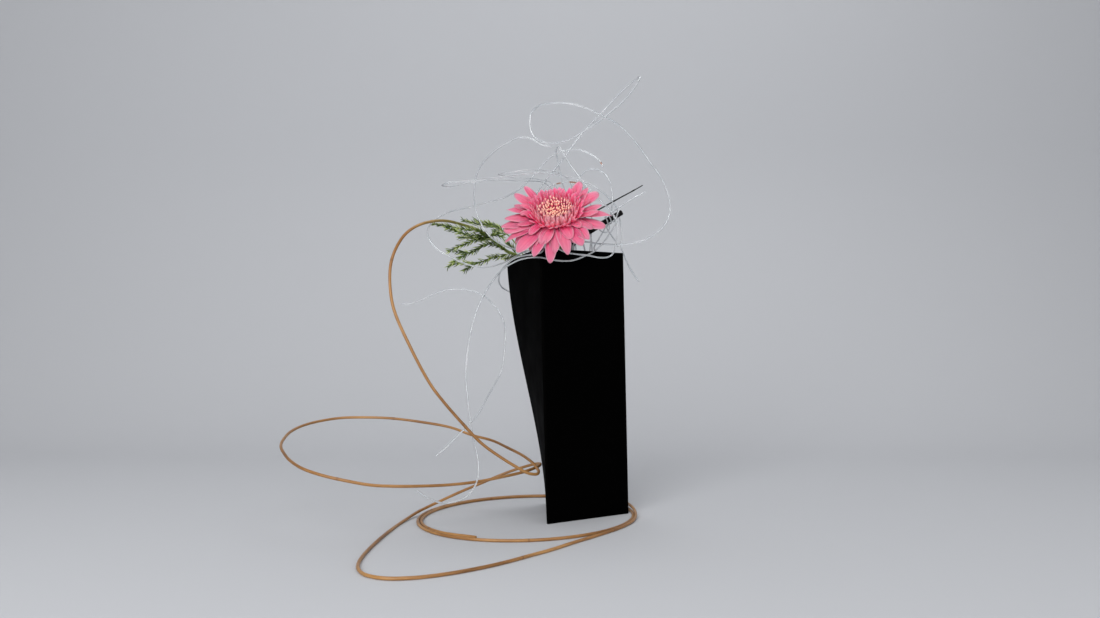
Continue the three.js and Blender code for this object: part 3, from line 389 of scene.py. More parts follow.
glaze = makeGlaze()
clearWater = makeWaterMaterial()
petalPink = makePetalMaterial()
floretCream = makeFloretMaterial()
nylon = makeNylon()
rattan = makeCaneMaterial()
flowerGreen = makeStemMaterial("chrysanthemumStalk", ("#4C6A2A", "#6E8F42", "#93AE63"), scale=120)
fernStalk = makeStemMaterial("fernStalk", ("#465C20", "#6F8638", "#A0AC66"), scale=150)
needleGreen = makeNeedleMaterial()
stickBark = makeBark("blackBark", ("#020202", "#060505", "#141211"),
                     scale=3, depth=0.5, roughness=0.62)
twigBark = makeBark("greyGreenTwig", ("#0C0E0B", "#171B15", "#333A2D"),
                    scale=2, depth=0.15, roughness=0.55)
print("materials are made")


# Shared ways to make a mesh

# Which knots each round mixes between, to get a point of a smooth curve from four route points
curveSpans = (((0, 1), (1, 2), (2, 3)), ((0, 2), (1, 3)), ((1, 2),))


def curveThrough(points, stepsPerPoint):
    # A smooth curve through the points. Its knots are the root of each distance apart, so that it
    # keeps close to them where they are crowded
    route = [Vector(p) for p in points]
    route = [route[0] * 2 - route[1], *route, route[-1] * 2 - route[-2]]
    result = []
    for i in range(1, len(route) - 2):
        knots = [0.0]
        for a, b in zip(route[i - 1:i + 2], route[i:i + 3]):
            knots.append(knots[-1] + math.sqrt((b - a).length))
        for step in range(stepsPerPoint):
            t = knots[1] + (knots[2] - knots[1]) * step / stepsPerPoint
            level = route[i - 1:i + 3]
            for spans in curveSpans:
                level = [a * ((knots[high] - t) / (knots[high] - knots[low]))
                         + b * ((t - knots[low]) / (knots[high] - knots[low]))
                         for a, b, (low, high) in zip(level, level[1:], spans)]
            result.append(level[0])
    result.append(route[-2])
    return result


def clamp(value):
    return min(1.0, max(0.0, value))


def hump(distance, width):
    # 1 in the middle, and nearly 0 at twice the width
    return math.exp(-(distance / width) ** 2)


def lengthsAlong(points):
    lengths = [0.0]
    for a, b in zip(points, points[1:]):
        lengths.append(lengths[-1] + (b - a).length)
    return lengths


def meshOf(name, points, edges=(), faces=(), values=None, unit=mm):
    # A mesh from points in mm, and a value for each point under each name
    mesh = bpy.data.meshes.new(name)
    mesh.from_pydata([tuple(p * unit) for p in points], edges, faces)
    for key, numbers in (values or {}).items():
        mesh.attributes.new(key, "FLOAT", "POINT").data.foreach_set("value", numbers)
    return mesh


def pathMesh(name, paths):
    # paths: each a dictionary of points in mm, a radius for each in mm, and more values by name
    extra = [key for key in paths[0] if key not in ("points", "radii")]
    points, edges = [], []
    values = {key: [] for key in ("size", "along", *extra)}
    for path in paths:
        first = len(points)
        points += path["points"]
        edges += [(i, i + 1) for i in range(first, len(points) - 1)]
        values["size"] += [r * mm for r in path["radii"]]
        values["along"] += [length * mm for length in lengthsAlong(path["points"])]
        for key in extra:
            values[key] += path[key]
    return meshOf(name, points, edges, values=values)


def startTree(name, sockets):
    tree = bpy.data.node_groups.new(name, "GeometryNodeTree")
    for socket, kind in sockets.items():
        tree.interface.new_socket(socket, in_out="INPUT", socket_type="NodeSocket" + kind)
    tree.interface.new_socket("Geometry", in_out="OUTPUT", socket_type="NodeSocketGeometry")
    return tree, addNode(tree, "NodeGroupInput").outputs


def finishTree(tree, geometry, material):
    real = addNode(tree, "GeometryNodeRealizeInstances", {"Geometry": geometry})
    finish = addNode(tree, "GeometryNodeSetMaterial", {"Geometry": real, "Material": material})
    addNode(tree, "NodeGroupOutput", {"Geometry": finish})
    return tree


# Of scattered shapes: spans of their turns in radians and of their leans in shares of Lean
scatterSpans = {"turn": (-0.5, 0.5), "lean": (0.7, 1.6), "leanSeed": 3}


def tubeTree():
    # A round tube along every path, as thick as each point's size
    tree, given = startTree("tubeAlongPaths", {
        "Geometry": "Geometry", "Sides": "Int", "Material": "Material"})
    size = addNode(tree, "GeometryNodeInputNamedAttribute", {"Name": "size"}, {"data_type": "FLOAT"})
    curve = addNode(tree, "GeometryNodeMeshToCurve", {"Mesh": given["Geometry"]})
    section = addNode(tree, "GeometryNodeCurvePrimitiveCircle", {"Resolution": given["Sides"], "Radius": 1})
    position = addNode(tree, "GeometryNodeInputPosition")
    marked = addNode(tree, "GeometryNodeStoreNamedAttribute", {
        "Geometry": section, "Name": "ringSpot", "Value": position}, {"data_type": "FLOAT_VECTOR"})
    swept = addNode(tree, "GeometryNodeCurveToMesh", {
        "Curve": curve, "Profile Curve": marked, "Scale": size, "Fill Caps": True})
    return finishTree(tree, swept, given["Material"])


def scatterTree():
    # The shape on every point, its Z axis along the point's ahead and its size by the point's stretch.
    # Each is spun a golden turn further than the one before, and leans over by about Lean
    tree, given = startTree("shapeOnPoints", {
        "Geometry": "Geometry", "Shape": "Object", "Seed": "Int", "Lean": "Float", "Material": "Material"})
    ahead, stretch = [
        addNode(tree, "GeometryNodeInputNamedAttribute", {"Name": name}, {"data_type": "FLOAT_VECTOR"})
        for name in ("ahead", "stretch")]
    index = addNode(tree, "GeometryNodeInputIndex")
    turn = addNode(tree, "ShaderNodeMath", {0: index, 1: goldenTurn}, multiply)
    turnDrawn, leanDrawn = [
        addNode(tree, "FunctionNodeRandomValue", {2: low, 3: high, "Seed": seed},
                {"data_type": "FLOAT"}).outputs[1]
        for (low, high), seed in ((scatterSpans["turn"], given["Seed"]),
                                  (scatterSpans["lean"], scatterSpans["leanSeed"]))]
    turned = addNode(tree, "ShaderNodeMath", {0: turn, 1: turnDrawn}, {"operation": "ADD"})
    leanAngle = addNode(tree, "ShaderNodeMath", {0: given["Lean"], 1: leanDrawn}, multiply)
    rotation = addNode(tree, "FunctionNodeAlignRotationToVector", {"Vector": ahead}, {"axis": "Z"})
    for axis, angle in (((0, 0, 1), turned), ((0, 1, 0), leanAngle)):
        step = addNode(tree, "FunctionNodeAxisAngleToRotation", {"Axis": axis, "Angle": angle})
        rotation = addNode(tree, "FunctionNodeRotateRotation", {"Rotation": rotation, "Rotate By": step},
                           {"rotation_space": "LOCAL"})
    shape = addNode(tree, "GeometryNodeObjectInfo", {"Object": given["Shape"]})
    placed = addNode(tree, "GeometryNodeInstanceOnPoints", {
        "Points": given["Geometry"], "Instance": shape.outputs["Geometry"], "Rotation": rotation,
        "Scale": stretch})
    return finishTree(tree, placed, given["Material"])


def throughTree(mesh, tree, inputs, name, sharpAngle=50):
    # What the tree makes of the mesh, as a plain mesh with edges sharp above the angle in degrees
    source = bpy.data.objects.new(name, mesh)
    scene.collection.objects.link(source)
    modifier = source.modifiers.new("nodes", "NODES")
    modifier.node_group = tree
    for item in tree.interface.items_tree:
        if item.in_out == "INPUT" and item.name in inputs:
            modifier[item.identifier] = inputs[item.name]
    evaluated = source.evaluated_get(bpy.context.evaluated_depsgraph_get())
    result = bpy.data.meshes.new_from_object(evaluated)
    source.modifiers.clear()
    bpy.data.objects.remove(source)
    result.name = name
    result.shade_smooth()
    result.set_sharp_from_angle(angle=math.radians(sharpAngle))
    return result


def tubeMesh(name, paths, sides, material):
    return throughTree(pathMesh(name + "Routes", paths), sharedTube,
                       {"Sides": sides, "Material": material}, name)


def scatterMesh(name, spots, shape, inputs):
    # spots: each a dictionary of place and stretch in mm, ahead and tone
    mesh = meshOf(name + "Spots", [spot["place"] for spot in spots],
                  values={"tone": [spot["tone"] for spot in spots]})
    for key, scale in (("ahead", 1), ("stretch", mm)):
        mesh.attributes.new(key, "FLOAT_VECTOR", "POINT").data.foreach_set(
            "vector", [value * scale for spot in spots for value in spot[key]])
    return throughTree(mesh, sharedScatter, {"Shape": shape, **inputs}, name, sharpAngle=80)


def addPiece(name, mesh, nodes):
    piece = bpy.data.objects.new(name, mesh)
    scene.collection.objects.link(piece)
    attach(piece, "root")
    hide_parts(*nodes)


def closeRings(faces, first, rings, sides):
    # Quads between rings of points, and a flat face over each end
    for ring in range(rings - 1):
        low = first + ring * sides
        for i in range(sides):
            j = (i + 1) % sides
            faces.append((low + i, low + j, low + sides + j, low + sides + i))
    faces.append(tuple(range(first + sides - 1, first - 1, -1)))
    faces.append(tuple(range(first + (rings - 1) * sides, first + rings * sides)))


def unitShape(name, form):
    # A closed tube one unit high for scatterTree, with a width at each level. It bends along X and
    # gets three lobes towards its tip
    sides = form["sides"]
    points, shares, faces = [], [], []
    for share, width in form["levels"]:
        for i in range(sides):
            angle = 2 * math.pi * i / sides
            lobe = width * (1 + form["lobes"] * share ** 4 * math.cos(3 * angle))
            bend = form["bend"] * share ** 2
            points.append(Vector((bend + lobe * math.cos(angle), lobe * math.sin(angle), share)))
            shares.append(share)
    closeRings(faces, 0, len(form["levels"]), sides)
    mesh = meshOf(name, points, faces=faces, values={"along": shares}, unit=1)
    mesh.shade_smooth()
    return bpy.data.objects.new(name, mesh)


def joinMeshes(name, meshes):
    objects = []
    for mesh in meshes:
        part = bpy.data.objects.new(name, mesh)
        scene.collection.objects.link(part)
        objects.append(part)
    with bpy.context.temp_override(active_object=objects[0], selected_editable_objects=objects,
                                   object=objects[0], selected_objects=objects):
        bpy.ops.object.join()
    joined = objects[0].data
    bpy.data.objects.remove(objects[0])
    joined.name = name
    return joined


sharedTube = tubeTree()
sharedScatter = scatterTree()


# Vase: three corner edges from the foot to the mouth, the rear one swinging outwards

vaseShape = {
    "height": 306, "rearDrop": 6, "wall": 5, "floor": 6,
    "foot": {"front": (-35.5, -64), "right": (63.6, -2.5), "rear": (-33, 61)},
    "mouth": {"front": (-43, -59), "right": (57.9, 0), "rear": (-82.3, 68)},
    "rearSlopes": (0.3, 0.3),  # how fast the rear corner swings at the foot and at the mouth
    "outerRadius": 1.5, "innerRadius": 1, "edge": 0.5, "edgeShare": 0.3, "sharpAngle": 40,
    "thinGlaze": 8, "thinAtCorner": 6,  # how far the glaze is thin below the mouth and from a corner
    "levels": 60, "cornerSteps": 6, "sideSteps": 24,
}


def vaseRing(fraction, inset, cornerRadius, drop):
    # The points round the vase at a fraction of its height, each with how near a corner it is
    shape = vaseShape
    footSlope, mouthSlope = shape["rearSlopes"]
    rearShare = (fraction ** 2 * (3 - 2 * fraction) + footSlope * fraction * (1 - fraction) ** 2
                 - mouthSlope * fraction ** 2 * (1 - fraction))
    shares = {"front": fraction, "right": fraction, "rear": rearShare}
    corners = [Vector(shape["foot"][name]).lerp(Vector(shape["mouth"][name]), share)
               for name, share in shares.items()]
    # the corners move inwards about the middle of the inscribed circle, so that each side moves by
    # the inset
    sides = [(corners[(i + 1) % 3] - corners[(i + 2) % 3]).length for i in range(3)]
    around = sum(sides)
    middle = sum((corner * side for corner, side in zip(corners, sides)), Vector((0, 0))) / around
    first = corners[1] - corners[0]
    second = corners[2] - corners[0]
    inradius = abs(first.x * second.y - first.y * second.x) / around
    corners = [(corner - middle) * ((inradius - inset) / inradius) + middle for corner in corners]
    flat = []
    rears = (0, 0, 1)
    for i, corner in enumerate(corners):
        before, after = corners[i - 1], corners[(i + 1) % 3]
        toBefore, toAfter = (before - corner).normalized(), (after - corner).normalized()
        half = math.acos(toBefore.dot(toAfter)) / 2
        centre = (toBefore + toAfter).normalized() * (cornerRadius / math.sin(half)) + corner
        start = toBefore * (cornerRadius / math.tan(half)) + corner - centre
        turn = math.pi - 2 * half
        # the rounded corner, then the side up to the next one
        for step in range(shape["cornerSteps"] + 1):
            angle = turn * step / shape["cornerSteps"]
            spot = Matrix.Rotation(angle, 2) @ start + centre
            flat.append((spot, rears[i], 1))
        for step in range(1, shape["sideSteps"]):
            share = step / shape["sideSteps"]
            rear = rears[i] + (rears[(i + 1) % 3] - rears[i]) * share
            near = 1 - min(share, 1 - share) * (after - corner).length / shape["thinAtCorner"]
            flat.append((corner.lerp(after, share), rear, max(0, near)))
    return [((spot.x, spot.y, fraction * (shape["height"] - shape["rearDrop"] * rear ** 2) - drop), near)
            for spot, rear, near in flat]


def makeVase():
    shape = vaseShape
    edge, wall, levels = shape["edge"], shape["wall"], shape["levels"]
    outer, inner = shape["outerRadius"], shape["innerRadius"]
    near = edge * shape["edgeShare"]
    lowest = shape["floor"] / shape["height"]
    # each ring: fraction of the height, inset, corner radius, drop
    rings = [(0, edge, outer, 0), (0, near, outer, -near), (0, 0, outer, -edge)]
    rings += [(level / levels, 0, outer, 0) for level in range(1, levels)]
    rings += [(1, 0, outer, edge), (1, near, outer, near), (1, edge, outer - edge, 0),
              (1, wall - edge, inner + edge, 0), (1, wall - near, inner, near), (1, wall, inner, edge)]
    rings += [(level / levels, wall, inner, 0)
              for level in range(levels - 1, 0, -1) if level / levels > lowest]
    rings.append((lowest, wall, inner, 0))
    spots = [spot for ring in rings for spot in vaseRing(*ring)]
    top = shape["height"]
    edgeValues = [max(near, 1 - abs(top - place[2]) / shape["thinGlaze"]) for place, near in spots]
    faces = []
    closeRings(faces, 0, len(rings), len(spots) // len(rings))
    mesh = meshOf("triangularVase", [Vector(place) for place, near in spots], faces=faces,
                  values={"edge": edgeValues})
    mesh.materials.append(glaze)
    mesh.shade_smooth()
    mesh.set_sharp_from_angle(angle=math.radians(shape["sharpAngle"]))
    addPiece("triangularVase", mesh, ["vase"])


makeVase()
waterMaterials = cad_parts["water"].data.materials
waterMaterials.clear()
waterMaterials.append(clearWater)
print("vase and water are made")


# Cane: from its cut end round the ring on the table, then through its loops to the mouth

cane = {
    "radius": 1.7, "sides": 14, "stepsPerPoint": 6, "fineStep": 1.6, "seed": 5,
    "firstNode": 70, "nodeSpacing": (150, 240), "nodeSwell": 0.12, "nodeLength": 2.2,
    "nodeDark": 0.8, "darkLength": 1.3,
    "uneven": 0.04, "unevenPace": 0.03, "slim": 0.03,
    # the green skin starts along X, on the last stretch only
    "greenFrom": -190, "greenTo": -120, "greenStretch": 320,
    "ringMiddle": (-55.5, -23.1), "ringRadius": 119.5, "ringDepth": 1.01, "ringSlant": 0.16,
    "ringPitch": 3.9, "ringStart": 243, "ringEnd": -400, "ringStep": 20,
    # where the second turn climbs over the first, and where the cut end rises
    "rise": {"direction": -340, "spread": 28, "lift": 6.5, "pull": 4.5, "pullPower": 1.5},
    "cutEndRise": {"spread": 45, "lift": 1.2},
    "lowLoop": [
        (-14, -160, 1.7), (-35, -187, 1.7), (-55, -209, 1.7), (-76, -232, 1.7), (-100, -254, 1.7),
        (-130, -275, 1.7), (-158, -287, 1.7), (-180, -288, 1.7), (-198, -277, 1.7), (-208, -257, 1.7),
        (-212, -230, 1.7), (-211, -181, 1.7), (-204, -110, 1.7), (-194, -50, 2), (-181, -17, 6),
        (-160, 4, 13), (-136, 18, 22), (-112, 25, 31), (-87, 28, 41), (-69, 25, 48), (-52, 18, 54),
        (-44.5, 9, 57)],
    "sideLoop": [
        (-41.2, -3, 58), (-44.5, -16, 57), (-62, -32, 53), (-85, -47, 50), (-112, -62, 47),
        (-140, -82, 47), (-165, -102, 49), (-195, -122, 52), (-219, -132, 55), (-242, -137, 60),
        (-267, -134, 65), (-290, -122, 70), (-308, -102, 75), (-322, -77, 80), (-333, -50, 85),
        (-338, -17, 90), (-338, 18, 95), (-330, 48, 99), (-314, 73, 102), (-293, 88, 104),
        (-264, 95, 104), (-233, 95, 103), (-193, 88, 99), (-152, 75, 93), (-126, 63, 85),
        (-100, 48, 80), (-80, 23, 74), (-62, -2, 68)],
    "arch": [
        (-50, -25, 62), (-46, -34, 58), (-44, -43, 55.5), (-46, -52, 54), (-52, -59, 55),
        (-59, -65, 58), (-68, -71, 64), (-84, -79, 75), (-106, -87, 92), (-128, -94, 116),
        (-148, -99, 140), (-161, -101, 158), (-183, -100, 199), (-200, -95, 237), (-205, -89, 264),
        (-205, -82, 287), (-200, -75, 305), (-191, -62, 322), (-176, -42, 335), (-154, -17, 342),
        (-132, 8, 340), (-113, 25, 335), (-99, 37, 326), (-84, 48, 315), (-66, 51, 305),
        (-49.5, 42.5, 289)],
    "leg": (-30, 34, 200),
}
waterLevel = 240
legStraight = 2
legTop = 22


def standing(x, y, low):
    # A leg upright at x, y from its end in the water to a little above the water
    return [(x, y, low), (x, y, waterLevel + legStraight), (x, y, waterLevel + legTop)]


def caneRing():
    points = []
    behind, cutEnd = cane["rise"], cane["cutEndRise"]
    direction = cane["ringStart"]
    while direction >= cane["ringEnd"]:
        rise = hump(direction - behind["direction"], behind["spread"])
        lift = hump(cane["ringStart"] - direction, cutEnd["spread"])
        radius = cane["ringRadius"] + cane["ringPitch"] * (cane["ringStart"] - direction) / 360
        radius -= behind["pull"] * rise ** behind["pullPower"]
        angle = math.radians(direction)
        right = radius * math.cos(angle)
        ahead = cane["ringDepth"] * radius * math.sin(angle) + cane["ringSlant"] * right
        points.append((cane["ringMiddle"][0] + right, cane["ringMiddle"][1] + ahead,
                       cane["radius"] + behind["lift"] * rise + cutEnd["lift"] * lift))
        direction -= cane["ringStep"]
    return points


def makeCane():
    points = caneRing() + cane["lowLoop"] + cane["sideLoop"] + cane["arch"]
    points += standing(*cane["leg"])[::-1]
    route = curveThrough(points, cane["stepsPerPoint"])
    fine = []
    for a, b in zip(route, route[1:]):  # a finer step, so that a node's swelling shows
        steps = max(1, round((b - a).length / cane["fineStep"]))
        fine += [a.lerp(b, i / steps) for i in range(steps)]
    fine.append(route[-1])
    lengths = lengthsAlong(fine)
    draw = random.Random(cane["seed"])
    joints = []
    place = cane["firstNode"]
    while place < lengths[-1]:
        joints.append(place)
        place += draw.uniform(*cane["nodeSpacing"])
    path = {"points": fine, "radii": [], "joint": [], "green": []}
    greenStart = lengths[-1] - cane["greenStretch"]
    for point, length in zip(fine, lengths):
        share = (point.x - cane["greenFrom"]) / (cane["greenTo"] - cane["greenFrom"])
        path["green"].append(clamp(share) if length > greenStart else 0.0)
        near = min(abs(length - joint) for joint in joints)
        wander = cane["uneven"] * noise.noise(Vector((length * cane["unevenPace"], 0, 0)))
        path["radii"].append(cane["radius"] * (1 + wander - cane["slim"])
                             + cane["nodeSwell"] * hump(near, cane["nodeLength"]))
        path["joint"].append(clamp(1 - near / cane["darkLength"]) * cane["nodeDark"])
    addPiece("rattanCane", tubeMesh("rattanCane", [path], cane["sides"], rattan), ["rattan_cane"])


makeCane()
print("cane is made")


# Clear nylon strands, each a route from end to end, with a leg in the water at its start or end
# where it has one. Amber gives the stretches of its length that are amber

strandRoutes = {
    "nylon_double_loop": {"radius": 1, "start": (-44, 17, 205), "end": (-6, -24, 205), "route": [
        (-50, 19, 285), (-56, 22, 300), (-62, 25, 324), (-63, 26, 341), (-54, 23, 365), (-39, 19, 389),
        (-17, 15, 416), (11, 9, 452), (32, 3, 473), (54, -5, 495), (70, -14, 507), (73, -23, 506),
        (68, -32, 496), (55, -38, 478), (27, -43, 453), (7, -46, 439), (-10, -47, 429),
        (-28, -47, 425), (-40, -47, 427), (-51, -47, 435), (-54, -45, 448), (-52, -43, 461),
        (-44, -39, 469), (-28, -33, 474), (-8, -27, 475), (11, -23, 471), (30, -20, 463),
        (49, -17, 453), (69, -13, 434), (85, -10, 413), (101, -8, 391), (109, -7, 369),
        (110, -7, 352), (102, -9, 336), (87, -12, 324), (70, -16, 317), (50, -21, 314),
        (27, -26, 314), (8, -29, 316), (-3, -27, 314), (-5, -24, 296)]},
    "nylon_left_arch": {"radius": 0.9, "end": (-40, 8, 205), "route": [
        (-29, -44, 422), (-40, -44, 424), (-50, -44, 430), (-64, -41, 433), (-80, -35, 428),
        (-95, -27, 420), (-107, -19, 410), (-115, -11, 398), (-118, -5, 385), (-119, -1, 369),
        (-117, 1, 356), (-112, 1, 343), (-105, 0, 331), (-96, 0, 322), (-83, 5, 315),
        (-69, 12, 311), (-62, 12, 309), (-55, 11, 305), (-46, 9, 288)]},
    "nylon_low_loop": {"radius": 0.9, "end": (-34, -3, 205), "amber": [(3, 7)], "route": [
        (35, 23, 412), (29, 25, 422), (19, 27, 429), (6, 29, 434), (-7, 31, 434), (-20, 33, 431),
        (-31, 35, 424), (-42, 37, 412), (-53, 37, 399), (-69, 33, 385), (-87, 29, 375),
        (-106, 25, 369), (-127, 15, 362), (-149, -1, 354), (-162, -17, 344), (-170, -29, 332),
        (-169, -36, 320), (-160, -40, 308), (-144, -40, 298), (-126, -37, 290), (-111, -31, 287),
        (-96, -23, 289), (-83, -15, 294), (-71, -9, 301), (-58, -4, 308), (-51, -4, 308),
        (-44, -3, 299), (-38, -3, 282)]},
    "nylon_flat_loop_tail": {"radius": 0.9, "start": (-17, 25, 205), "route": [
        (-20, 24, 290), (-26, 20, 320), (-21, 35, 374), (-29, 31, 389), (-40, 23, 394),
        (-53, 13, 393), (-71, -1, 391), (-88, -15, 389), (-106, -29, 386), (-128, -44, 380),
        (-143, -55, 375), (-150, -64, 374), (-150, -71, 374), (-143, -75, 376), (-129, -71, 378),
        (-110, -59, 382), (-88, -45, 387), (-65, -31, 393), (-42, -19, 397), (-21, -11, 396),
        (-3, -6, 394), (13, -3, 389), (29, 0, 380), (41, 3, 370), (49, 5, 360), (53, 5, 346),
        (55, 3, 329), (54, 1, 314), (58, 3, 303), (65, 7, 289), (71, 9, 280), (76, 11, 273)]},
    "nylon_flat_loop": {"radius": 0.8, "start": (-8, 20, 205), "end": (-3, 13, 205), "route": [
        (-10, 20, 290), (-16, 18, 330), (-17, 25, 377), (-26, 19, 391), (-40, 11, 394),
        (-56, 1, 394), (-72, -9, 393), (-85, -17, 394), (-90, -26, 394), (-84, -34, 394),
        (-74, -35, 395), (-61, -29, 398), (-46, -19, 400), (-30, -9, 401), (-16, 1, 399),
        (-6, 5, 391), (-3, 3, 375), (0, 4, 338), (-2, 10, 300)]},
    "nylon_pointed_loop": {"radius": 0.9, "start": (4, 14, 205), "end": (-22, -33, 205), "route": [
        (3, 15, 290), (0, 24, 332), (-10, 27, 379), (-16, 24, 401), (-20, 21, 420), (-22, 16, 431),
        (-19, 9, 433), (-14, 7, 425), (-6, 6, 412), (6, 3, 395), (18, -3, 379), (32, -10, 363),
        (41, -16, 352), (47, -20, 339), (47, -23, 325), (44, -27, 311), (42, -31, 304),
        (35, -37, 298), (23, -43, 297), (11, -46, 299), (-1, -49, 300), (-14, -52, 302),
        (-24, -53, 307), (-28, -50, 311), (-27, -45, 311), (-24, -38, 308), (-22, -34, 298)]},
    "nylon_small_arch": {"radius": 0.9, "start": (15, 8, 205), "end": (30, 0, 205), "route": [
        (15, 9, 290), (8, 14, 330), (-4, 19, 381), (1, 21, 392), (8, 23, 402), (15, 23, 408),
        (25, 21, 409), (34, 19, 405), (41, 17, 396), (45, 17, 383), (45, 16, 367), (42, 10, 350),
        (35, 4, 335), (28, 1, 323), (22, -1, 312), (26, -2, 300), (29, 0, 282)]},
    "nylon_rear_arch": {"radius": 0.8, "start": (-4, 3, 205), "end": (15, -2, 205),
                        "amber": [(205, 211), (220, 229)], "route": [
        (-6, 4, 290), (-20, 8, 330), (-44, 7, 370), (-36, 3, 382), (-23, -1, 387), (-10, -3, 389),
        (3, -1, 388), (14, 5, 381), (20, 10, 350), (17, 6, 300)]},
    "nylon_front_trail": {"radius": 0.9, "route": [
        (52, -13, 360), (48, -12, 350), (45, -17, 337), (38, -23, 326), (30, -29, 315),
        (20, -36, 305), (7, -44, 298), (-6, -50, 293), (-18, -55, 292), (-31, -60, 293),
        (-42, -63, 295), (-54, -63, 295), (-65, -59, 293), (-75, -51, 289), (-83, -41, 285),
        (-91, -33, 278), (-98, -31, 269), (-106, -31, 256), (-113, -33, 241), (-118, -36, 225),
        (-122, -39, 207), (-125, -43, 185), (-126, -47, 163), (-124, -51, 141), (-121, -57, 119),
        (-116, -71, 94), (-112, -77, 79), (-110, -82, 65), (-112, -87, 50), (-120, -92, 38),
        (-132, -97, 32), (-146, -103, 31), (-160, -107, 36), (-174, -111, 46)]},
    "nylon_rear_hook": {"radius": 0.9, "start": (-38, -24, 205), "route": [
        (-38, -28, 290), (-38, -40, 308), (-38, -52, 312), (-41, -66, 301), (-50, -71, 298),
        (-60, -64, 297), (-70, -47, 296), (-79, -25, 292), (-86, -1, 287), (-90, 19, 282),
        (-91, 35, 275), (-88, 47, 269), (-83, 61, 266), (-78, 73, 264), (-73, 81, 262)]},
    "nylon_side_drape": {"radius": 0.8, "route": [
        (-200, -37, 245), (-190, -35, 245), (-179, -33, 249), (-164, -31, 256), (-149, -29, 261),
        (-134, -28, 262), (-120, -28, 260), (-107, -29, 255), (-97, -29, 246), (-89, -31, 236),
        (-83, -34, 222), (-82, -37, 206), (-83, -41, 188), (-86, -47, 170), (-93, -53, 155),
        (-101, -61, 141), (-109, -73, 126), (-116, -82, 117), (-123, -89.4, 110), (-134, -91.4, 99),
        (-145, -91, 88), (-155, -93, 80)]},
    "nylon_stick_hook": {"radius": 0.8, "start": (20, -7, 205), "route": [
        (20, -6, 290), (19, -2, 318), (18, 1, 329), (18, -3, 338), (20, -11, 342), (24, -17, 335),
        (30, -17, 329), (35, -14, 329), (39, -8, 333), (39, -3, 341), (36, -1, 349)]},
}
binding = {
    "middle": (39.5, -8.5, 344.5), "direction": (19, 2, 11), "turns": 2.5, "pitch": 4.5,
    "pointsPerTurn": 8, "stickRadius": 3.4, "gap": 0.3, "radius": 0.8,
    "freeEnd": [(81, -7, 377), (71, -6, 372), (60, -5, 365), (50, -5, 359)],
    "tail": [(36, -14, 333), (41, -15, 325), (46, -14, 318), (49, -13, 312)],
}
strandLook = {"sides": 10, "stepsPerPoint": 8, "amberShare": 0.85}


def bindingRoute():
    # A free end, turns round the stick with room for the flats between their points, and a tail
    direction = Vector(binding["direction"]).normalized()
    upward = Vector((0, 0, 1))
    upward = (upward - direction * upward.dot(direction)).normalized()
    sideways = direction.cross(upward)
    radius = binding["stickRadius"] + binding["gap"] + binding["radius"]
    radius /= math.cos(math.pi / binding["pointsPerTurn"])
    coil = []
    for i in range(int(binding["turns"] * binding["pointsPerTurn"]) + 1):
        turn = 2 * math.pi * i / binding["pointsPerTurn"]
        shift = binding["pitch"] * (binding["turns"] / 2 - i / binding["pointsPerTurn"])
        coil.append(Vector(binding["middle"]) + direction * shift
                    + upward * (radius * math.cos(turn)) + sideways * (radius * math.sin(turn)))
    return [*binding["freeEnd"], *coil, *binding["tail"]]


def makeStrand(node, points, radius, amberSpans=()):
    route = curveThrough(points, strandLook["stepsPerPoint"])
    amber = [strandLook["amberShare"] if any(low <= length <= high for low, high in amberSpans) else 0.0
             for length in lengthsAlong(route)]
    first, *others = node.split("_")
    name = first + "".join(word.capitalize() for word in others)
    path = {"points": route, "radii": [radius] * len(route), "amber": amber}
    addPiece(name, tubeMesh(name, [path], strandLook["sides"], nylon), [node])


def makeStrands():
    for node, strand in strandRoutes.items():
        points = list(strand["route"])
        if "start" in strand:
            points = standing(*strand["start"]) + points
        if "end" in strand:
            points += standing(*strand["end"])[::-1]
        makeStrand(node, points, strand["radius"], strand.get("amber", ()))
    makeStrand("nylon_binding", bindingRoute(), binding["radius"])


makeStrands()
print("nylon strands are made")


# Black stick and dark twig

stick = {
    "radius": 3.4, "slim": 0.25, "sides": 20, "stepsPerPoint": 16, "leg": (-20, -24, 120),
    "route": [(54, -7, 353), (35, -9, 342), (16, -12, 330), (1, -15, 320), (-11, -22, 305), (-19, -24, 285)],
    "knots": [(31, 0.22), (78, 0.2)], "knotLength": 3,
    "worn": 0.3, "wornLength": 1.2, "uneven": 0.12, "unevenPace": 0.12,
}
twig = {
    "radius": 0.828, "sides": 10, "stepsPerPoint": 12, "leg": (-29, -9, 120),
    "route": [(81, 13, 388), (69, 11, 381), (51, 8, 371), (32, 4, 360), (11, 0, 348), (-16, -2, 325),
              (-26, -3, 300), (-29, -8, 275)],
    "tip": 0.75, "tipLength": 150,
    "buds": {"spacing": 27, "first": 13, "height": 0.28, "length": 1.5, "last": 240},
}


def legRoute(form):
    return curveThrough(form["route"] + standing(*form["leg"])[::-1], form["stepsPerPoint"])


def makeStick():
    route = legRoute(stick)
    radii = []
    for length in lengthsAlong(route):
        knots = sum(height * hump(length - place, stick["knotLength"]) for place, height in stick["knots"])
        wander = stick["uneven"] * noise.noise(Vector((length * stick["unevenPace"], 3, 0)))
        worn = stick["worn"] * max(0.0, 1 - length / stick["wornLength"])
        radii.append(stick["radius"] - stick["slim"] + knots + wander - worn)
    mesh = tubeMesh("blackStick", [{"points": route, "radii": radii}], stick["sides"], stickBark)
    addPiece("blackStick", mesh, ["black_stick"])


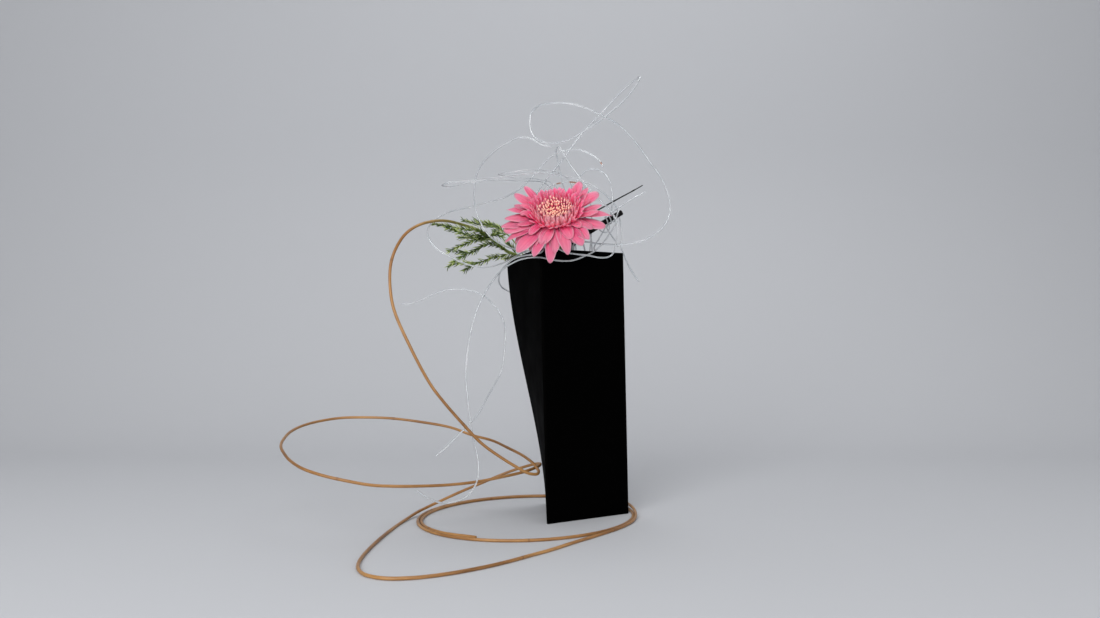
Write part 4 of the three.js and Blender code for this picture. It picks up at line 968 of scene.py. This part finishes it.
def makeTwig():
    route = legRoute(twig)
    buds = twig["buds"]
    radii = []
    for length in lengthsAlong(route):
        bud = buds["height"] * hump(length % buds["spacing"] - buds["first"], buds["length"])
        taper = min(1.0, twig["tip"] + length / twig["tipLength"])
        radii.append(twig["radius"] * taper + bud * max(0.0, 1 - length / buds["last"]))
    mesh = tubeMesh("darkTwig", [{"points": route, "radii": radii}], twig["sides"], twigBark)
    addPiece("darkTwig", mesh, ["dark_twig"])


makeStick()
makeTwig()
print("stick and twig are made")


# Fern: bare stems, and sprays that carry needles on every side

fern = {
    "stemRadius": 1.1, "stemTaper": 0.35, "sprayRadius": 0.6, "tipRadius": 0.3, "sides": 8,
    "stemSteps": 6, "spraySteps": 8,
    "needleLength": 10.5, "lengthSpan": (0.7, 1.12), "tipShrink": 0.4, "needleWidth": 0.62,
    "firstNeedle": 1.5, "needleSpacing": 0.85, "spacingSpan": (0.6, 1.4), "lean": 0.38,
    "longShare": 0.12, "longBy": 1.35, "darkness": 1.5,  # above 1, more needles are dark than light
    "needle": {"sides": 3, "levels": [(0, 0.5), (0.3, 1), (0.7, 0.8), (1, 0.05)], "bend": 0.9, "lobes": 0},
}
frontFrond = {
    "seed": 11,
    "leg": (-48, 34, 190),
    "stem": [(-57, 36, 291), (-62, 38, 304.5), (-70, 37.5, 308.5), (-78, 35.5, 311.5), (-86, 30, 315),
             (-95, 23, 322)],
    "sprays": [
        [(-90.4, 26.8, 318.2), (-97, 22, 323), (-106, 15, 329), (-116, 7, 333), (-126, 1, 334),
         (-141, -7, 335), (-155, -13, 337), (-166, -19, 338)],
        [(-105.9, 15.2, 328.6), (-119, 3, 327), (-133, -7, 329), (-150, -18, 333)],
        [(-99, 20, 324), (-110, 13, 325), (-123, 7, 325), (-137, 3, 325)],
        [(-101, 19, 325), (-117, 5, 322), (-130, -5, 316), (-139, -11, 311), (-148, -17, 306)],
        [(-103, 17, 327), (-96, 21, 330), (-86, 24, 328)],
        [(-80.7, 33.8, 312.5), (-89, 25, 316), (-99, 17, 318), (-110, 7, 315), (-117, 1, 310),
         (-128, -6, 304), (-138, -11, 298), (-148, -17, 289)],
        [(-124, -3, 306), (-132, 1, 307), (-140, 5, 308)],
        [(-75, 36.3, 310.3), (-87, 25, 305), (-99, 15, 302), (-106, 9, 298), (-117, 1, 294),
         (-128, -5, 294), (-142, -11, 292)],
        [(-115, 3, 295), (-124, 5, 291), (-131, 7, 286)],
        [(-70, 37.5, 308.5), (-74, 34, 316), (-81, 30, 322)],
        [(-70, 37.5, 308.5), (-76, 30, 304), (-84, 21, 301)],
    ],
}
rearFrond = {
    "seed": 12,
    "leg": (-42, 25, 190),
    "stem": [(-53, 28, 292), (-62, 29, 308), (-70, 32, 320), (-77, 39, 329), (-86, 48, 338)],
    "sprays": [
        [(-84, 46, 336), (-92, 51, 342), (-100, 53, 345), (-115, 49, 347), (-125, 45, 348),
         (-134, 41, 350)],
        [(-95.2, 52, 343.1), (-108, 59, 348), (-120, 63, 353)],
        [(-85.6, 47.8, 337.6), (-95, 59, 345), (-107, 63, 350)],
        [(-81.6, 43.9, 333.6), (-88, 46, 335), (-97, 42, 336)],
    ],
}


def sprayNeedles(route, draw):
    # Where needles stand along a spray, how long they are and how pale
    lengths = lengthsAlong(route)
    spots = []
    place = fern["firstNeedle"]
    step = 0
    while place < lengths[-1]:
        while lengths[step + 1] < place:
            step += 1
        share = (place - lengths[step]) / (lengths[step + 1] - lengths[step])
        shrink = 1 - fern["tipShrink"] * (place / lengths[-1]) ** 2
        length = fern["needleLength"] * shrink * draw.uniform(*fern["lengthSpan"])
        if draw.random() < fern["longShare"]:
            length *= fern["longBy"]
        spots.append({"place": route[step].lerp(route[step + 1], share),
                      "ahead": (route[step + 1] - route[step]).normalized(),
                      "tone": draw.random() ** fern["darkness"],
                      "stretch": (fern["needleWidth"], fern["needleWidth"], length)})
        place += fern["needleSpacing"] * draw.uniform(*fern["spacingSpan"])
    return spots


def makeFrond(name, frond, node, needle):
    draw = random.Random(frond["seed"])
    stem = curveThrough(standing(*frond["leg"]) + frond["stem"], fern["stemSteps"])
    count = len(stem)
    paths = [{"points": stem,
              "radii": [fern["stemRadius"] * (1 - fern["stemTaper"] * i / count) for i in range(count)]}]
    spots = []
    for spray in frond["sprays"]:
        route = curveThrough(spray, fern["spraySteps"])
        taper = fern["tipRadius"] - fern["sprayRadius"]
        paths.append({"points": route, "radii": [fern["sprayRadius"] + taper * i / (len(route) - 1)
                                                 for i in range(len(route))]})
        spots += sprayNeedles(route, draw)
    stalks = tubeMesh(name + "Stalks", paths, fern["sides"], fernStalk)
    leaves = scatterMesh(name, spots, needle, {
        "Seed": frond["seed"], "Lean": fern["lean"], "Material": needleGreen})
    addPiece(name, joinMeshes(name, [leaves, stalks]), [node])
    print(name, len(spots), "needles")


def makeFern():
    needle = unitShape("needleShape", fern["needle"])
    makeFrond("fernFrondFront", frontFrond, "fern_frond_front", needle)
    makeFrond("fernFrondRear", rearFrond, "fern_frond_rear", needle)
    bpy.data.objects.remove(needle)


makeFern()
print("fern is made")


# Chrysanthemum: petals in the head's own frame, x to the right, y up its back, z along its axis

bloom = {
    "middle": (-25, -52, 343), "axis": (-0.1, -0.7, 0.7),
    "seed": 7, "sides": 48,
    "base": [(12, -7), (20, -2), (20, 1.9), (19.2, 2.5), (18, 2.5), (17.6, 2.2)],  # radius, height
    "root": 15, "thickness": 0.55,
    "outer": [  # direction in degrees, reach, height of the tip, width
        (188, 63, -2, 20), (197, 61, -4, 19), (208, 66, -8, 18), (216, 57, -9, 16), (227.5, 66, -9, 20),
        (236, 54, -12, 15), (245, 62, -11, 15), (268, 54, -11, 14), (261.5, 61.5, -18, 14),
        (280, 57, -12, 16), (295, 47, -9, 13), (301, 54, -8, 16), (312, 53, -6, 15), (327, 47.5, -3, 14),
        (338, 58, -5, 17), (353, 62.5, -2, 18), (10, 53, 3, 16), (28, 55.5, 8, 15), (41, 49.5, 12, 14),
        (54, 51, 14, 14), (66, 50, 0, 14), (80, 50, -3, 14), (95, 51, -4, 14), (110, 50, -1, 14),
        (127, 54, 13, 12), (141, 58, 9, 15), (153, 52, 2, 15), (166, 57, 3, 17), (178, 57.5, 1, 17)],
    "upper": [  # shorter ones over them
        (252, 48, -4, 16), (290, 43, -3, 14), (347, 48.5, 8, 14), (226, 43, 0, 11), (200, 45, 2, 12),
        (158, 42, 8, 10), (118, 39, 9, 8), (80, 39, 8, 9), (54, 41, 12, 8), (16, 42, 9, 10),
        (318, 38, 2, 10), (176, 40, 5, 8), (141, 40, 11, 7), (96, 38, 8, 7), (36, 40, 11, 7)],
    "forms": {  # of the broad petals: bases of even and odd ones, then the spans of the drawn values
        "outer": {"base": (-4.5, -2), "rise": 2.8, "cup": (-1, 2.2), "roll": 0.45, "notches": (0, 0, 0.8),
                  "sway": 2, "wave": 0.8},
        "upper": {"base": (-0.8, 0.2), "rise": 1.5, "cup": (0.2, 2.2), "roll": 0.45, "notches": (0, 0.6),
                  "sway": 1.5, "wave": 0.7},
    },
    # narrow ones that stand up round the centre, each ring further in and more upright
    "ringValues": ("count", "from", "reach", "rise", "tip", "width", "curl", "pale"),
    "rings": [
        (18, 19.2, 35, 0, 10, 7, 0.4, 0), (22, 18.8, 32, -1, 12, 6, 0.8, 0),
        (26, 19, 29.5, -2.5, 14.5, 5, 1.8, 0), (28, 18.6, 26.5, -3, 15.5, 4.5, 3, 0.15),
        (26, 18.2, 23.5, -3, 15, 4, 3.6, 0.35), (24, 17.8, 20.5, -2, 12.5, 3.4, 3.4, 0.7),
    ],
    "ringTurn": 0.2, "ringShift": (0, 0.4), "narrowUneven": (-2, 1.5),
    "narrowForm": {"base": 0.8, "cup": (1, 2), "roll": 0.5, "wave": 0.3},
    "outline": {  # width at the root, growth, where the tip starts, least width
        "narrow": (0.6, 0.55, 0.7, 0.03), "broad": (0.55, 0.45, 0.6, 0.02)},
    "fullAt": 0.7,  # where a broad petal is widest
    "point": (0.48, 0.7),  # how pointed the broad petals are
    "rearLift": 4,  # how much further the tips stand out at the back of the head
    "across": {"broad": 14, "narrow": 6}, "lengthwise": {"broad": 20, "narrow": 11},
    "groove": {"broad": (0.28, 3.2), "narrow": (0.1, 2)},  # depth, and how many across half the width
}
petalForm = {
    "rowCrowding": 1.25,  # above 1, the rows of points lie nearer together towards the tip
    "slopeStep": 0.01, "waves": 9, "wavePhase": (0, 6),
    "bodyGrowth": 0.8, "bodyEnd": 6,  # how fast the thickness comes, and how late it goes
    "grooveGrowth": 3, "grooveEnd": 4,
    "cupPower": 1.25, "notchWidth": 0.35, "notchPower": 12,
    "underGrowth": 4,
}
centre = {
    "seed": 23, "turnSeed": 4, "radius": 16.5, "florets": 110, "sides": 32,
    "dome": [(14.5, 2.5), (13, 5.5), (8, 7), (2, 8)],  # radius, height
    "lowest": 5.6, "rimExtra": 4, "uneven": 1.9, "girth": (0.95, 1.25), "rimRoom": 0.9, "lean": 0.42,
    "rootHeight": 4.5, "shift": 0.55, "pinkGrowth": 1.5, "paleBy": 0.55, "pinkUneven": 0.25, "jitter": 0.08,
    "floret": {"sides": 6, "levels": [(0, 0.5), (0.45, 0.8), (0.74, 1.1), (0.9, 0.75), (1, 0.12)],
               "bend": -0.6, "lobes": 0.2},
}


def headFrame():
    axis = Vector(bloom["axis"]).normalized()
    up = Vector((0, 1, 1))
    up = (up - axis * up.dot(axis)).normalized()
    right = up.cross(axis)
    turn = Matrix((right, up, axis)).transposed().to_4x4()
    return Matrix.Translation(Vector(bloom["middle"])) @ turn


def petalWidth(kind, t, point):
    root, growth, tipFrom, least = bloom["outline"][kind]
    tip = max(0.0, 1 - max(0.0, (t - tipFrom) / (1 - tipFrom)) ** 2)
    if kind == "narrow":
        return max(least, min(1, root + growth * t) * tip ** 0.5)
    body = root + growth * math.sin(min(1, t / bloom["fullAt"]) * math.pi / 2)
    return max(least, body * tip ** point)


def addPetal(points, faces, values, form, kind, draw):
    # One petal as a closed sheet with an upper and an under face, added to the bloom's lists
    across = bloom["across"][kind]
    rows = bloom["lengthwise"][kind]
    outward = Vector((math.cos(form["angle"]), math.sin(form["angle"]), 0))
    sideways = Vector((-math.sin(form["angle"]), math.cos(form["angle"]), 0))
    sway = draw.uniform(-1, 1) * form.get("sway", 1.0)
    phase = draw.uniform(*petalForm["wavePhase"])
    tone = draw.random()
    point = draw.uniform(*bloom["point"])
    reach, start = form["reach"], form["from"]
    depth, count = bloom["groove"][kind]
    slopeStep = petalForm["slopeStep"]

    def spine(t):
        height = form["base"] + form["rise"] * 4 * t * (1 - t) + (form["tip"] - form["base"]) * t * t
        inward = form["curl"] * t ** 3
        return (outward * (start + (reach - start) * t - inward) + Vector((0, 0, height))
                + sideways * (sway * t * t))

    index = {}  # point numbers by face, row and column; both faces share those on the border

    def keyOf(face, row, column):
        border = row in (0, rows) or column in (0, across)
        return (1 if border else face, row, column), border

    for face in (1, -1):
        for row in range(rows + 1):
            t = 1 - (1 - row / rows) ** petalForm["rowCrowding"]
            ahead = (spine(min(1, t + slopeStep)) - spine(t - slopeStep)).normalized()
            side = Quaternion(ahead, form["roll"] * t) @ sideways
            normal = ahead.cross(side)
            half = form["width"] / 2 * petalWidth(kind, t, point)
            wave = form["wave"] * math.sin(petalForm["waves"] * t + phase) * t
            for column in range(across + 1):
                key, border = keyOf(face, row, column)
                if key in index:
                    continue
                s = 2 * column / across - 1
                inner = 1 - s * s
                body = inner * min(1, row * petalForm["bodyGrowth"]) * (1 - t ** petalForm["bodyEnd"])
                groove = depth * math.cos(s * math.pi * count) * inner
                groove *= min(1, petalForm["grooveGrowth"] * t) * (1 - t ** petalForm["grooveEnd"])
                cup = form["cup"] * (half / (form["width"] / 2)) * abs(s) ** petalForm["cupPower"]
                lift = cup + wave * s * abs(s)
                notch = form.get("notch", 0) * hump(s, petalForm["notchWidth"]) * t ** petalForm["notchPower"]
                spot = spine(t) + side * (half * s) - ahead * notch
                spot += normal * (lift + groove + face * bloom["thickness"] / 2 * body)
                index[key] = len(points)
                points.append(spot)
                under = 0 if border or face == 1 else min(1, body * petalForm["underGrowth"])
                for name, value in {"along": t, "side": s, "tone": tone, "under": under,
                                    "narrow": kind == "narrow", "pale": form.get("pale", 0)}.items():
                    values[name].append(value)
    for face in (1, -1):
        for row in range(rows):
            for column in range(across):
                corners = [index[keyOf(face, r, c)[0]] for r, c in (
                    (row, column), (row, column + 1), (row + 1, column + 1), (row + 1, column))]
                faces.append(tuple(corners if face == -1 else corners[::-1]))


def headMesh(name, points, faces, values, material, place):
    # A mesh from points in the head's own frame, put in its place with its faces outwards
    mesh = meshOf(name, [place @ point for point in points], faces=faces, values=values)
    mesh.materials.append(material)
    work = bmesh.new()
    work.from_mesh(mesh)
    bmesh.ops.recalc_face_normals(work, faces=work.faces)
    work.to_mesh(mesh)
    work.free()
    mesh.shade_smooth()
    return mesh


def addTurned(points, faces, values, profile, sides):
    # A closed turned body from pairs of radius and height, with a middling tone
    first = len(points)
    for radius, height in profile:
        for j in range(sides):
            angle = 2 * math.pi * j / sides
            points.append(Vector((radius * math.cos(angle), radius * math.sin(angle), height)))
    for key, numbers in values.items():
        numbers += [0.5 if key == "tone" else 0.0] * (len(profile) * sides)
    closeRings(faces, first, len(profile), sides)


def makePetals(place):
    draw = random.Random(bloom["seed"])
    points, faces = [], []
    values = {"along": [], "side": [], "tone": [], "under": [], "narrow": [], "pale": []}
    addTurned(points, faces, values, bloom["base"], bloom["sides"])
    for name, form in bloom["forms"].items():
        for i, (direction, reach, tip, width) in enumerate(bloom[name]):
            addPetal(points, faces, values, {
                "angle": math.radians(direction), "from": bloom["root"], "reach": reach, "tip": tip,
                "width": width, "curl": 0, "base": form["base"][i % 2],
                "rise": form["rise"] + draw.uniform(-1, 1), "cup": draw.uniform(*form["cup"]),
                "roll": draw.uniform(-1, 1) * form["roll"], "notch": draw.choice(form["notches"]),
                "wave": form["wave"], "sway": form["sway"]}, "broad", draw)
    form = bloom["narrowForm"]
    for number, row in enumerate(bloom["rings"]):
        ring = dict(zip(bloom["ringValues"], row))
        for i in range(ring["count"]):
            # every other ring stands in the gaps of the last
            spot = i + 0.5 * (number % 2) + draw.uniform(*bloom["ringShift"])
            angle = 2 * math.pi * spot / ring["count"] + bloom["ringTurn"]
            lift = bloom["rearLift"] * max(0, math.sin(angle))
            addPetal(points, faces, values, {
                **ring, "angle": angle, "reach": ring["reach"] + draw.uniform(*bloom["narrowUneven"]),
                "tip": ring["tip"] + lift + draw.uniform(*bloom["narrowUneven"]), "base": form["base"],
                "cup": draw.uniform(*form["cup"]), "roll": draw.uniform(-form["roll"], form["roll"]),
                "wave": form["wave"]}, "narrow", draw)
    mesh = headMesh("chrysanthemumPetals", points, faces, values, petalPink, place)
    addPiece("chrysanthemumPetals", mesh, ["bloom_petals"])


def makeCentre(place):
    draw = random.Random(centre["seed"])
    points, faces, values = [], [], {"along": [], "tone": []}
    addTurned(points, faces, values, centre["dome"], centre["sides"])
    dome = headMesh("dome", points, faces, values, floretCream, place)
    spots = []
    for i in range(centre["florets"]):
        share = math.sqrt((i + 0.5) / centre["florets"])
        outward = Vector((math.cos(i * goldenTurn), math.sin(i * goldenTurn), 0))
        girth = draw.uniform(*centre["girth"])
        height = centre["lowest"] + centre["rimExtra"] * share ** 1.3
        height += draw.uniform(-1, 1) * centre["uneven"]
        low = outward * (share * (centre["radius"] - centre["rimRoom"]))
        low += Vector((0, 0, centre["rootHeight"]))
        low += Vector((draw.uniform(-1, 1), draw.uniform(-1, 1), 0)) * centre["shift"]
        ahead = place.to_3x3() @ (Vector((0, 0, 1)) + outward * (centre["lean"] * share)).normalized()
        pinkness = centre["pinkGrowth"] * share - centre["paleBy"]
        pinkness += draw.uniform(-centre["pinkUneven"], centre["pinkUneven"])
        spots.append({"place": place @ low, "ahead": ahead, "stretch": (girth, girth, height),
                      "tone": clamp(pinkness)})
    floret = unitShape("floretShape", centre["floret"])
    florets = scatterMesh("florets", spots, floret, {
        "Seed": centre["turnSeed"], "Lean": centre["jitter"], "Material": floretCream})
    bpy.data.objects.remove(floret)
    mesh = joinMeshes("chrysanthemumCentre", [dome, florets])
    addPiece("chrysanthemumCentre", mesh, ["bloom_centre"])


flowerStalk = {
    "radius": 2.8, "uneven": 0.04, "unevenPace": 0.08, "sides": 16, "stepsPerPoint": 10,
    "leg": (-10, -8, 40),
    "route": [(-23.3, -41, 332), (-22, -30, 321), (-16, -13, 301), (-11, -8, 282)],
    "calyx": [(0.5, 0), (11, 0), (12.3, 2), (10, 6), (4, 10), (2.9, 14)],  # radius, depth
    "calyxSides": 40, "gap": 0.3,
}


def makeStalk(place):
    uneven = flowerStalk["uneven"]
    route = legRoute(flowerStalk)
    radii = [flowerStalk["radius"] * (1 - uneven + uneven * noise.noise(p * flowerStalk["unevenPace"]))
             for p in route]
    stalk = tubeMesh("stalk", [{"points": route, "radii": radii}], flowerStalk["sides"], flowerGreen)
    points, faces = [], []
    top = bloom["base"][0][1] - flowerStalk["gap"]
    addTurned(points, faces, {}, [(radius, top - depth) for radius, depth in flowerStalk["calyx"]],
              flowerStalk["calyxSides"])
    calyx = headMesh("calyx", points, faces, {}, flowerGreen, place)
    addPiece("chrysanthemumStalk", joinMeshes("chrysanthemumStalk", [stalk, calyx]), ["flower_stem"])


headPlace = headFrame()
makePetals(headPlace)
makeCentre(headPlace)
makeStalk(headPlace)
print("chrysanthemum is made")
